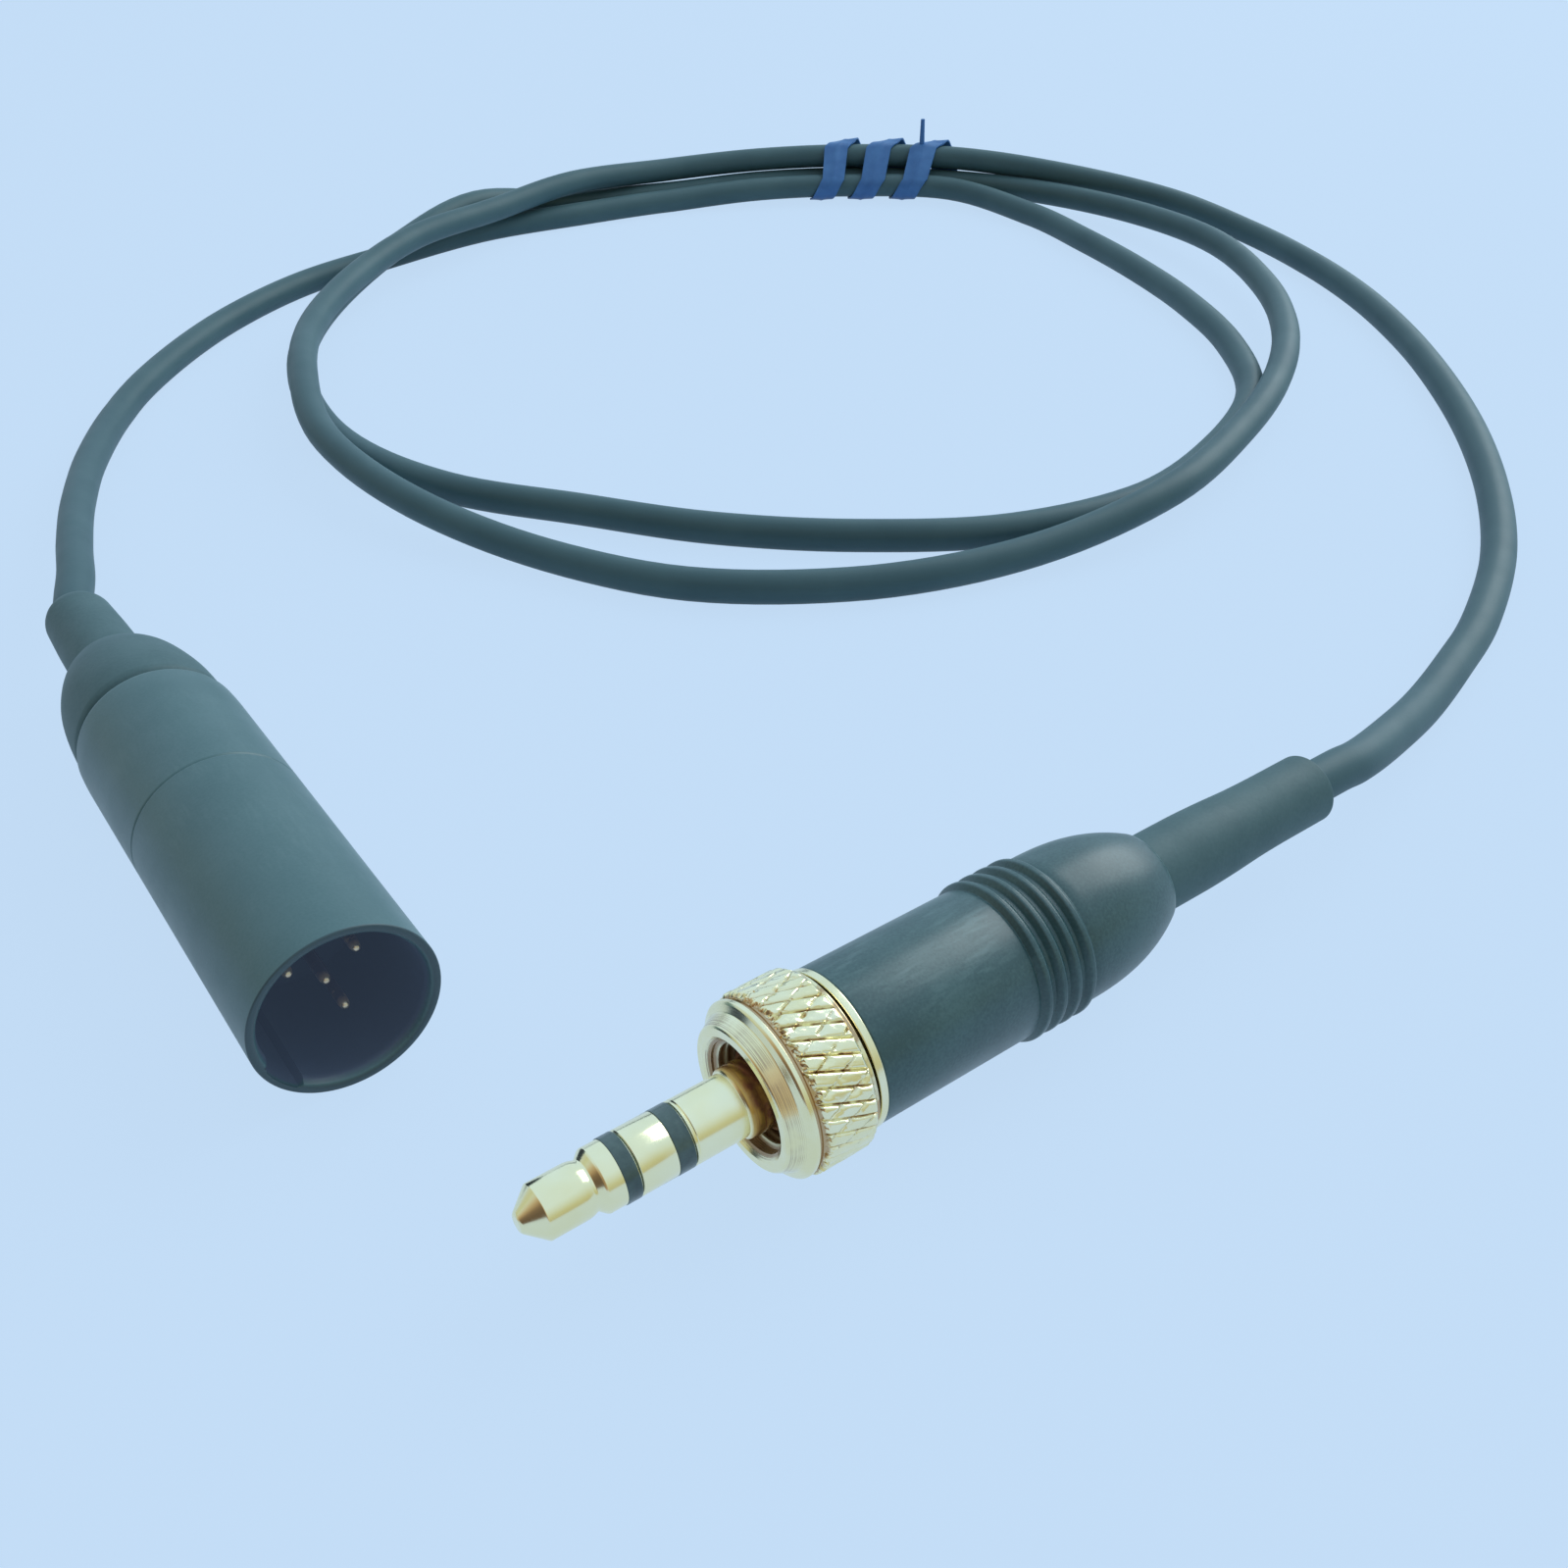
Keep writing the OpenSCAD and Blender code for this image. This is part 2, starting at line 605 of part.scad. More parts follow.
// The earth strap: a strip from the boss to a crimp round the jacket.
module jack_cable_clamp() {
  color(nickel) on_jack()
    difference() {
      union() {
        translate([-strap_w / 2, strap_r, t_boss_end])
          cube([strap_w, clamp_t, t_clamp + clamp_len - t_boss_end]);
        translate([-strap_w / 2, 0, t_clamp]) cube([strap_w, strap_r + clamp_t, clamp_len]);
        translate([0, 0, t_clamp]) cylinder(h = clamp_len, r = cable_d / 2 + clamp_t);
      }
      translate([0, 0, t_clamp - 1]) cylinder(h = clamp_len + 2, d = cable_d);
    }
}

module jack_bend_relief() {
  bore = cable_d / 2 + cable_gap;
  r = boot_d / 2;
  end_r = boot_end_d / 2;
  color(black) on_jack()
    rotate_extrude() polygon([
      [bore, t_boot_flange], [boot_flange_r, t_boot_flange],
      [boot_flange_r, t_boot_flange + boot_flange_len], [r, t_boot_flange + boot_flange_len],
      [r, t_rim + 0.31 * boot_len], [r - 0.2 * (r - end_r), t_rim + 0.4 * boot_len],
      [end_r + 0.06, t_rim + 0.52 * boot_len], [end_r, t_rim + 0.72 * boot_len],
      [end_r, t_boot_end - 0.1], [end_r - 0.1, t_boot_end], [bore, t_boot_end]
    ]);
}

module jack_cable_end() {
  color(grey) on_jack()
    translate([0, 0, t_jacket_front]) cylinder(h = t_boot_end - t_jacket_front, d = cable_d);
}

// A conductor from the stripped jacket to the radius r at the side "turn", along a lug.
module jack_wire(turn, r, tint) {
  start_r = 0.6;
  a = [cos(turn), sin(turn)];
  p = [
    [a[0] * start_r, a[1] * start_r, t_jacket_front],
    [a[0] * start_r, a[1] * start_r, t_jacket_front - 0.3],
    [a[0] * r, a[1] * r, t_tongue_end + 0.2], [a[0] * r, a[1] * r, t_rod_end + 1]
  ];
  color(tint) on_jack() tube(p, 0, 3, wire_d / 2, [1, 0, 0]);
}

module jack_wire_1() { jack_wire(0, tip_lug_r + wire_d / 2, copper); }
module jack_wire_2() { jack_wire(180, ring_lug_r - tongue_t - wire_d / 2, nickel); }
module jack_wire_3() { jack_wire(90, strap_r - wire_d / 2, blue); }

// ---- Cable and tie ----

module cable_lead_xlr() { color(grey) tube(route, 0, coil_first, cable_d / 2); }
module cable_coil() { color(grey) tube(route, coil_first, coil_last, cable_d / 2); }
module cable_lead_jack() { color(grey) tube(route, coil_last, len(route) - 1, cable_d / 2); }

// Middle of strand k of the bundle at the angle a, on the straight stretch between two rings.
function strand(k, a) =
  let (u = (coil_start - a) / coil_step + k * coil_turn, i = floor(u))
  coil[i] + (u - i) * (coil[i + 1] - coil[i]);

// Outermost of the three strands in the direction n, across the bundle at the angle a.
function outer_strand(a, n, k = 2) =
  k == 0 ? 0 : let (j = outer_strand(a, n, k - 1)) strand(k, a) * n > strand(j, a) * n ? k : j;

tie_first = 51;
tie_wraps = 2.75;
tie_ring_step = 15;
tie_slack = 0.1;
tie_advance = tie_pitch / 50.5 * 180 / PI;

// The ribbon's inner and outer corner at the angle a, on the side psi of the bundle.
function tie_edge(a, psi) =
  let (
    n = cos(psi) * [cos(a), sin(a), 0] + [0, 0, sin(psi)],
    c = strand(outer_strand(a, n), a),
    r0 = cable_d / 2 + tie_slack
  )
  [c + r0 * n, c + (r0 + tie_t) * n];

// Four corners of the ribbon, wrapped by w degrees from its first end.
function tie_corners(w) =
  let (
    a = tie_first - w / 360 * tie_advance,
    half = tie_w / 2 / 50.5 * 180 / PI,
    psi = 250 - w,
    e = tie_edge(a - half, psi),
    f = tie_edge(a + half, psi)
  )
  [e[0], f[0], f[1], e[1]];

module twist_tie() {
  n = floor(tie_wraps * 360 / tie_ring_step);
  points = [for (i = [0:n]) each tie_corners(i * tie_ring_step)];
  sides = [for (i = [0:n - 1], k = [0:3])
    let (a = i * 4 + k, b = i * 4 + (k + 1) % 4)
    each [[a, b + 4, b], [a, a + 4, b + 4]]];
  caps = [[0, 1, 2, 3], [n * 4 + 3, n * 4 + 2, n * 4 + 1, n * 4]];
  color(blue) polyhedron(points, concat(sides, caps), convexity = 10);
}

xlr_shell();
xlr_rear_shell();
xlr_insert();
xlr_pin_1();
xlr_pin_2();
xlr_pin_3();
xlr_pin_4();
xlr_cable_clamp();
xlr_rear_cap();
xlr_cable_sleeve();
xlr_wire_1();
xlr_wire_2();
xlr_wire_3();
xlr_cable_end();
jack_tip();
jack_front_insulator();
jack_ring_contact();
jack_rear_insulator();
jack_sleeve();
jack_ring_lug();
jack_lug_washer();
jack_tip_lug();
lock_ring();
lock_ring_clip();
jack_collar();
jack_shell();
jack_liner();
jack_cable_clamp();
jack_bend_relief();
jack_wire_1();
jack_wire_2();
jack_wire_3();
jack_cable_end();
cable_lead_xlr();
cable_coil();
cable_lead_jack();
twist_tie();
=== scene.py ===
import json
import logging
import math
from dataclasses import dataclass
from enum import Enum
from typing import Any, Optional, Sequence, Union

import bmesh
import bpy
from mathutils import Matrix, Vector, noise

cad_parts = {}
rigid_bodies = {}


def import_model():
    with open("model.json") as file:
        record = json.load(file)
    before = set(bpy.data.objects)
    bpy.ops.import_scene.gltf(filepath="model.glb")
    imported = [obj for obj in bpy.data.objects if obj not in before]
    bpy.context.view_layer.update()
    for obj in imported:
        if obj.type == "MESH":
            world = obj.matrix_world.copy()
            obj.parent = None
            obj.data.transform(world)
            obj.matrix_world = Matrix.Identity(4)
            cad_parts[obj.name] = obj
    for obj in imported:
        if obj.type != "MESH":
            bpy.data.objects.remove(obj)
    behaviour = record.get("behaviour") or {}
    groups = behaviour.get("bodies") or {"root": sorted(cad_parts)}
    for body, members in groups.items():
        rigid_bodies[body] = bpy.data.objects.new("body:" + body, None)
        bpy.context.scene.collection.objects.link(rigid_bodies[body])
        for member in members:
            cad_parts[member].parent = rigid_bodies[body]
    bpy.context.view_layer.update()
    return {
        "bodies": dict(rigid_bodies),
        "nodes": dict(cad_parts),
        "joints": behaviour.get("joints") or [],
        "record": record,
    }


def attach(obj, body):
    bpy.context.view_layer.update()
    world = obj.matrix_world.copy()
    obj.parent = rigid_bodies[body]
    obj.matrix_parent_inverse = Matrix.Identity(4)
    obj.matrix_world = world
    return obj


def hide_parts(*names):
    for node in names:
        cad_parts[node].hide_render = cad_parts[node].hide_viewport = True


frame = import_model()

MM = 0.001

Rgb = tuple[float, float, float]
Corner = tuple[float, ...]
Value = Union["Link", float, int]

log = logging.getLogger("adapter_cable")


class Body(Enum):
    """The moving parts that a piece can ride on."""

    CABLE = "cable"
    LOCK_RING = "lock_ring"


class Slot(Enum):
    """The record's material slots."""

    XLR_HOUSING = "xlr_housing"
    JACK_HOUSING = "jack_housing"
    SOFT_BLACK = "soft_black"
    JACKET = "cable_jacket"
    CONTACT_GOLD = "gold_contacts"
    HARDWARE_GOLD = "gold_hardware"
    NICKEL = "nickel"
    INSULATOR = "insulator"
    WIRE_RED = "wire_red"
    WIRE_WHITE = "wire_white"
    WIRE_BLUE = "wire_blue"
    TIE = "tie_blue"


# ---- Shader graphs ----


class Link:
    """A socket that gives a value. Arithmetic on it adds Math nodes."""

    def __init__(self, graph: "NodeGraph", socket: bpy.types.NodeSocket) -> None:
        """Hold the socket and the graph that its maths goes in."""
        self.graph = graph
        self.socket = socket

    def maths(self, operation: str, *values: Value, clamp: bool = False) -> "Link":
        """Add a Math node.

        Args:
            operation: The node's operation.
            values: Its inputs, in order.
            clamp: Whether the result is kept from 0 to 1.

        Returns:
            The node's result.
        """
        settings = {"operation": operation, "use_clamp": clamp}
        return self.graph.out(self.graph.add("ShaderNodeMath", settings, dict(enumerate(values))))

    def __add__(self, other: Value) -> "Link":
        """Sum."""
        return self.maths("ADD", self, other)

    def __radd__(self, other: Value) -> "Link":
        """Sum with a number on the left."""
        return self.maths("ADD", other, self)

    def __sub__(self, other: Value) -> "Link":
        """Difference."""
        return self.maths("SUBTRACT", self, other)

    def __rsub__(self, other: Value) -> "Link":
        """Difference with a number on the left."""
        return self.maths("SUBTRACT", other, self)

    def __mul__(self, other: Value) -> "Link":
        """Product."""
        return self.maths("MULTIPLY", self, other)

    def __rmul__(self, other: Value) -> "Link":
        """Product with a number on the left."""
        return self.maths("MULTIPLY", other, self)

    def __pow__(self, other: Value) -> "Link":
        """Power."""
        return self.maths("POWER", self, other)

    def absolute(self) -> "Link":
        """Its distance from 0."""
        return self.maths("ABSOLUTE", self)

    def larger(self, other: Value) -> "Link":
        """The larger of the two."""
        return self.maths("MAXIMUM", self, other)

    def smaller(self, other: Value) -> "Link":
        """The smaller of the two."""
        return self.maths("MINIMUM", self, other)

    def step(self, low: float, high: float) -> "Link":
        """Rise from 0 at low to 1 at high, or fall where low is above high."""
        return self.maths("MULTIPLY_ADD", self, 1 / (high - low), -low / (high - low), clamp=True)


class NodeGraph:
    """The nodes of one material or of the world."""

    def __init__(self, tree: bpy.types.NodeTree) -> None:
        """Start from an empty tree."""
        tree.nodes.clear()
        self.tree = tree

    def add(
        self,
        kind: str,
        settings: Optional[dict[str, Any]] = None,
        inputs: Optional[dict[Union[int, str], Any]] = None,
    ) -> bpy.types.Node:
        """Add a node.

        Args:
            kind: The node's type.
            settings: Its settings, set first; "stops" are a ramp's (place, colour) pairs.
            inputs: A number, a colour or a Link for each socket named or counted.

        Returns:
            The new node.
        """
        node = self.tree.nodes.new(kind)
        for name, value in (settings or {}).items():
            if name == "stops":
                elements = node.color_ramp.elements
                while len(elements) < len(value):
                    elements.new(0.5)
                for element, (place, colour) in zip(elements, value):
                    element.position = place
                    element.color = (*colour, 1.0)
            else:
                setattr(node, name, value)
        for name, value in (inputs or {}).items():
            if isinstance(value, Link):
                self.tree.links.new(value.socket, node.inputs[name])
            else:
                node.inputs[name].default_value = value
        return node

    def out(self, node: bpy.types.Node, name: Union[int, str] = 0) -> Link:
        """The output of a node as a Link."""
        return Link(self, node.outputs[name])

    def place(self) -> Link:
        """The object's own coordinates, in metres."""
        return self.out(self.add("ShaderNodeTexCoord"), "Object")

    def noise(self, size: float, detail: float = 3.0, vector: Optional[Link] = None) -> Link:
        """Noise from 0 to 1 whose cells are about size millimetres across.

        Args:
            size: The cells' size.
            detail: The number of finer layers.
            vector: Where it is read, the object's coordinates by default.

        Returns:
            The noise.
        """
        inputs = {"Scale": 1 / (size * MM), "Detail": detail, "Vector": vector or self.place()}
        return self.out(self.add("ShaderNodeTexNoise", None, inputs))

    def stretched(self, scale: Sequence[float]) -> Link:
        """The object's coordinates, scaled on each axis."""
        inputs = {0: self.place(), 1: scale}
        return self.out(self.add("ShaderNodeVectorMath", {"operation": "MULTIPLY"}, inputs))

    def blend(self, factor: Value, first: Any, second: Any) -> Link:
        """Mix two colours, each a Link or an RGB triple."""
        first = first if isinstance(first, Link) else (*first, 1.0)
        second = second if isinstance(second, Link) else (*second, 1.0)
        node = self.add("ShaderNodeMix", {"data_type": "RGBA"}, {0: factor, 6: first, 7: second})
        return self.out(node, 2)


@dataclass(frozen=True)
class PlugAxis:
    """Where a plug lies: its own z axis runs from its mating end to the cable.

    Attributes:
        along: The world axis, 0 or 1, that the plug's z axis lies on.
        zero: World place of station 0 on the axis, in millimetres.
    """

    along: int
    zero: tuple[float, float, float]

    def matrix(self) -> Matrix:
        """The plug's own frame in millimetres, taken to the shared frame in metres."""
        turns = (((0, 0, 1), (0, 1, 0), (-1, 0, 0)), ((1, 0, 0), (0, 0, 1), (0, -1, 0)))
        turn = Matrix(turns[self.along]).to_4x4()
        return Matrix.Scale(MM, 4) @ Matrix.Translation(self.zero) @ turn

    def offset(self, graph: NodeGraph, axis: int) -> Link:
        """The distance from station 0 on a world axis, in millimetres."""
        parts = graph.add("ShaderNodeSeparateXYZ", None, {0: graph.place()})
        return graph.out(parts, axis) * (1 / MM) - self.zero[axis]

    def station(self, graph: NodeGraph) -> Link:
        """The station along the plug, in millimetres."""
        return self.offset(graph, self.along)

    def height(self, graph: NodeGraph) -> Link:
        """The height over the plug's axis, in millimetres."""
        return self.offset(graph, 2)

    def radius(self, graph: NodeGraph) -> Link:
        """The distance from the plug's axis, in millimetres."""
        aside = self.offset(graph, 1 - self.along)
        height = self.height(graph)
        return (aside * aside + height * height) ** 0.5

    def rings(self, graph: NodeGraph, size: float) -> Link:
        """Noise that is the same all round the axis, as turning marks are.

        Args:
            graph: The graph that the nodes go in.
            size: The marks' width in millimetres.

        Returns:
            The marks, from 0 to 1.
        """
        section = {0: self.station(graph), 1: self.radius(graph)}
        vector = graph.out(graph.add("ShaderNodeCombineXYZ", None, section))
        inputs = {"Scale": 1 / size, "Detail": 2.0, "Vector": vector}
        return graph.out(graph.add("ShaderNodeTexNoise", None, inputs))


JACK_AXIS = PlugAxis(0, (-23.3, -31.0, 5.1))
XLR_AXIS = PlugAxis(1, (-25.4, -13.75, 5.45))


@dataclass(frozen=True)
class Knurl:
    """The lock ring's knurl: grooves that wind as they go back, and cuts struck across them.

    Attributes:
        start: Station where it starts, in millimetres.
        end: Station where it ends, in millimetres.
        grooves: Number of grooves round it.
        columns_per_groove: Columns of its mesh from one groove to the next.
        columns_per_cut: Columns of its mesh from one cross cut to the next.
        rows: Rows of its mesh along it.
        groove_twist: How far the grooves wind, in degrees a millimetre.
    """

    start: float = 13.05
    end: float = 16.38
    grooves: int = 36
    columns_per_groove: int = 12
    columns_per_cut: int = 16
    rows: int = 40
    groove_twist: float = 4.85

    @property
    def length(self) -> float:
        """Its length, in millimetres."""
        return self.end - self.start

    @property
    def columns(self) -> int:
        """Number of columns round it."""
        return self.grooves * self.columns_per_groove

    @property
    def cuts(self) -> int:
        """Number of cross cuts round it."""
        return self.columns // self.columns_per_cut

    @property
    def cut_twist(self) -> float:
        """How far the cross cuts wind, in degrees a millimetre: a column back for each row."""
        return self.groove_twist - 360 / self.columns * self.rows / self.length


KNURL = Knurl()


# ---- Finishes ----


@dataclass(frozen=True)
class Finish:
    """A surface with a cloudy colour and a fine grain.

    Attributes:
        name: The material's name.
        slot: The record's slot that it dresses.
        colour: Its main colour, linear.
        cloud: The colour that it drifts to.
        roughness: Its mean roughness.
        metallic: 1 on bare or plated metal.
        cloud_size: Size of the drifts, in millimetres.
        grain_size: Size of the grain, in millimetres.
        grain_depth: Height of the grain, in millimetres.
        spread: How much the roughness varies.
        specular: The shader's specular level.
        speckle: How much the fine grain shows in the colour.
        painted_glow: Painted light, an emission that lifts the surface's blacks, linear.
    """

    name: str
    slot: Slot
    colour: Rgb
    cloud: Rgb
    roughness: float
    metallic: float = 0.0
    cloud_size: float = 4.0
    grain_size: float = 0.12
    grain_depth: float = 0.004
    spread: float = 0.08
    specular: float = 0.5
    speckle: float = 0.0
    painted_glow: Rgb = (0.0, 0.0, 0.0)

    def tint(self, graph: NodeGraph) -> Link:
        """The colour over the surface."""
        drift = graph.noise(self.cloud_size, 4.0)
        if self.speckle:
            grain = graph.noise(self.grain_size * 1.4, 1.0) - 0.5
            drift = drift + grain * self.speckle
        return graph.blend(drift.step(0.3, 0.7), self.colour, self.cloud)

    def metal(self, graph: NodeGraph) -> Value:
        """How metallic the surface is."""
        return self.metallic

    def glow(self, graph: NodeGraph) -> Any:
        """The painted glow over the surface."""
        # Painted glow: an emission on a surface that is no lamp.
        return (*self.painted_glow, 1.0)

    def gloss(self, graph: NodeGraph) -> Link:
        """The roughness over the surface."""
        drift = graph.noise(self.cloud_size * 0.4, 3.0)
        return drift * (2 * self.spread) + (self.roughness - self.spread)

    def relief(self, graph: NodeGraph) -> Link:
        """The height over the surface, from 0 to 1."""
        return graph.noise(self.grain_size, 2.0)

    def material(self) -> bpy.types.Material:
        """Build the material, or give the one that is there.

        Returns:
            The material of this finish.
        """
        found = bpy.data.materials.get(self.name)
        if found is not None:
            return found
        material = bpy.data.materials.new(self.name)
        material.use_nodes = True
        graph = NodeGraph(material.node_tree)
        rise = {"Strength": 1.0, "Distance": self.grain_depth * MM, "Height": self.relief(graph)}
        bump = graph.add("ShaderNodeBump", None, rise)
        surface = {
            "Base Color": self.tint(graph),
            "Roughness": self.gloss(graph),
            "Metallic": self.metal(graph),
            "Specular IOR Level": self.specular,
            "Emission Color": self.glow(graph),
            "Emission Strength": 1.0,
            "Normal": graph.out(bump, "Normal"),
        }
        shader = graph.add("ShaderNodeBsdfPrincipled", None, surface)
        graph.add("ShaderNodeOutputMaterial", None, {"Surface": graph.out(shader)})
        material.diffuse_color = (*self.colour, 1.0)
        return material


@dataclass(frozen=True)
class SatinShell(Finish):
    """Painted metal with scuffing in a patch, which on the top also stands as a painted highlight, and
    paint worn thin on the edges at some stations.

    Attributes:
        axis: The plug that it covers.
        scuffed: First and last station of the scuffed patch.
        scuffs_and_highlight_above: Height over the axis from which the scuffing lies; kept high, it also
            stands as a painted highlight on the top.
        scuff: How strong the scuffing and its painted highlight are.
        scuff_colour: The colour of a scuff, of the painted highlight and of a worn edge.
        streak_size: Width of a scuff's streaks, in millimetres.
        cluster_size: Size of the clusters that they lie in, in millimetres.
        worn_edges: Stations of the worn edges.
        worn_half_w: Half the width of a worn edge, in millimetres.
    """

    axis: PlugAxis = JACK_AXIS
    scuffed: tuple[float, float] = (17.0, 27.0)
    scuffs_and_highlight_above: float = -9.0
    scuff: float = 0.0
    scuff_colour: Rgb = (0.22, 0.32, 0.32)
    streak_size: float = 0.34
    cluster_size: float = 2.8
    worn_edges: tuple[float, ...] = ()
    worn_half_w: float = 0.09

    def scuffs_and_highlight(self, graph: NodeGraph) -> Link:
        """Where the paint is scuffed, from 0 to 1; kept to the top, this also lightens it as a painted
        highlight.
        """
        first, last = self.scuffed
        middle, half = (first + last) / 2, (last - first) / 2
        patch = (self.axis.station(graph) - middle).absolute().step(half, half * 0.5)
        lengthwise = [1.0, 1.0, 1.0]
        lengthwise[self.axis.along] = 0.2
        streaks = graph.noise(self.streak_size, 7.0, graph.stretched(lengthwise)).step(0.46, 0.66)
        clusters = graph.noise(self.cluster_size, 2.0).step(0.42, 0.62)
        # Painted highlight: kept above this height, the scuffing lightens the top as light falling on it
        # would.
        upper = self.axis.height(graph).step(self.scuffs_and_highlight_above, self.scuffs_and_highlight_above + 1.4)
        return patch * upper * streaks * clusters * self.scuff

    def edges(self, graph: NodeGraph) -> Optional[Link]:
        """Where an edge is worn, from 0 to 1, or None."""
        worn = None
        for place in self.worn_edges:
            offset = self.axis.station(graph) - place
            band = offset.absolute().step(self.worn_half_w, self.worn_half_w / 3)
            worn = band if worn is None else worn.larger(band)
        return worn

    def tint(self, graph: NodeGraph) -> Link:
        """The colour over the surface."""
        colour = graph.blend(self.scuffs_and_highlight(graph), super().tint(graph), self.scuff_colour)
        worn = self.edges(graph)
        if worn is not None:
            broken = graph.noise(0.6, 3.0).step(0.35, 0.6)
            colour = graph.blend(worn * broken * 0.7, colour, self.scuff_colour)
        return colour


@dataclass(frozen=True)
class Plated(Finish):
    """Plated metal with turning marks round a plug's axis.

    Attributes:
        axis: The plug whose axis the marks go round.
        mark_size: The marks' width, in millimetres.
        metallic: 1, because it is metal.
    """

    axis: PlugAxis = JACK_AXIS
    mark_size: float = 0.09
    metallic: float = 1.0

    def relief(self, graph: NodeGraph) -> Link:
        """Turning marks, and a faint grain over them."""
        grain = graph.noise(self.grain_size, 2.0)
        return self.axis.rings(graph, self.mark_size) * 0.75 + grain * 0.25

    def gloss(self, graph: NodeGraph) -> Link:
        """The roughness over the surface, with duller rings."""
        rings = self.axis.rings(graph, self.mark_size * 4) * (1.2 * self.spread)
        drift = graph.noise(self.cloud_size * 0.4, 3.0) * (0.8 * self.spread)
        return rings + drift + (self.roughness - self.spread)


@dataclass(frozen=True)
class StainAndShadeGold(Plated):
    """Plating that is amber and brown beyond a station: partly staining, partly painted shade and
    reflection.

    Attributes:
        stain_and_shade_from: Station where the staining and painted shade start.
        stain_and_shade_metal: How metallic the stretch with staining and painted shade is.
        amber_for: Length over which its light colour shows.
        amber: The light colour of the staining and painted shade.
        brown: The dark colour of the staining and painted shade, in rings and patches.
        ring_size: Width of the dark rings, in millimetres.
        patch_size: Size of the dark patches, in millimetres.
    """

    stain_and_shade_from: float = 10.9
    stain_and_shade_metal: float = 0.6
    amber_for: float = 9.0
    amber: Rgb = (0.66, 0.40, 0.09)
    brown: Rgb = (0.32, 0.13, 0.07)
    ring_size: float = 0.30
    patch_size: float = 1.1

    def tint(self, graph: NodeGraph) -> Link:
        """The colour over the surface."""
        station = self.axis.station(graph)
        rings = self.axis.rings(graph, self.ring_size).step(0.42, 0.54)
        patches = graph.noise(self.patch_size, 3.0).step(0.40, 0.56)
        marks = rings.larger(patches) * station.step(self.stain_and_shade_from + 0.05, self.stain_and_shade_from + 0.5)
        far = self.stain_and_shade_from + self.amber_for
        # Staining and painted shade: amber, then brown rings and patches, and brown all over near the far
        # station.
        stain_and_shade_tint = graph.blend(marks.larger(station.step(far - 0.7, far)), self.amber, self.brown)
        return graph.blend(self.stain_and_shade(graph), super().tint(graph), stain_and_shade_tint)

    def stain_and_shade(self, graph: NodeGraph) -> Link:
        """Where the staining and painted shade are, from 0 to 1."""
        return self.axis.station(graph).step(self.stain_and_shade_from, self.stain_and_shade_from + 0.1)

    def metal(self, graph: NodeGraph) -> Value:
        """How metallic the surface is."""
        return self.stain_and_shade(graph) * (self.stain_and_shade_metal - 1.0) + 1.0


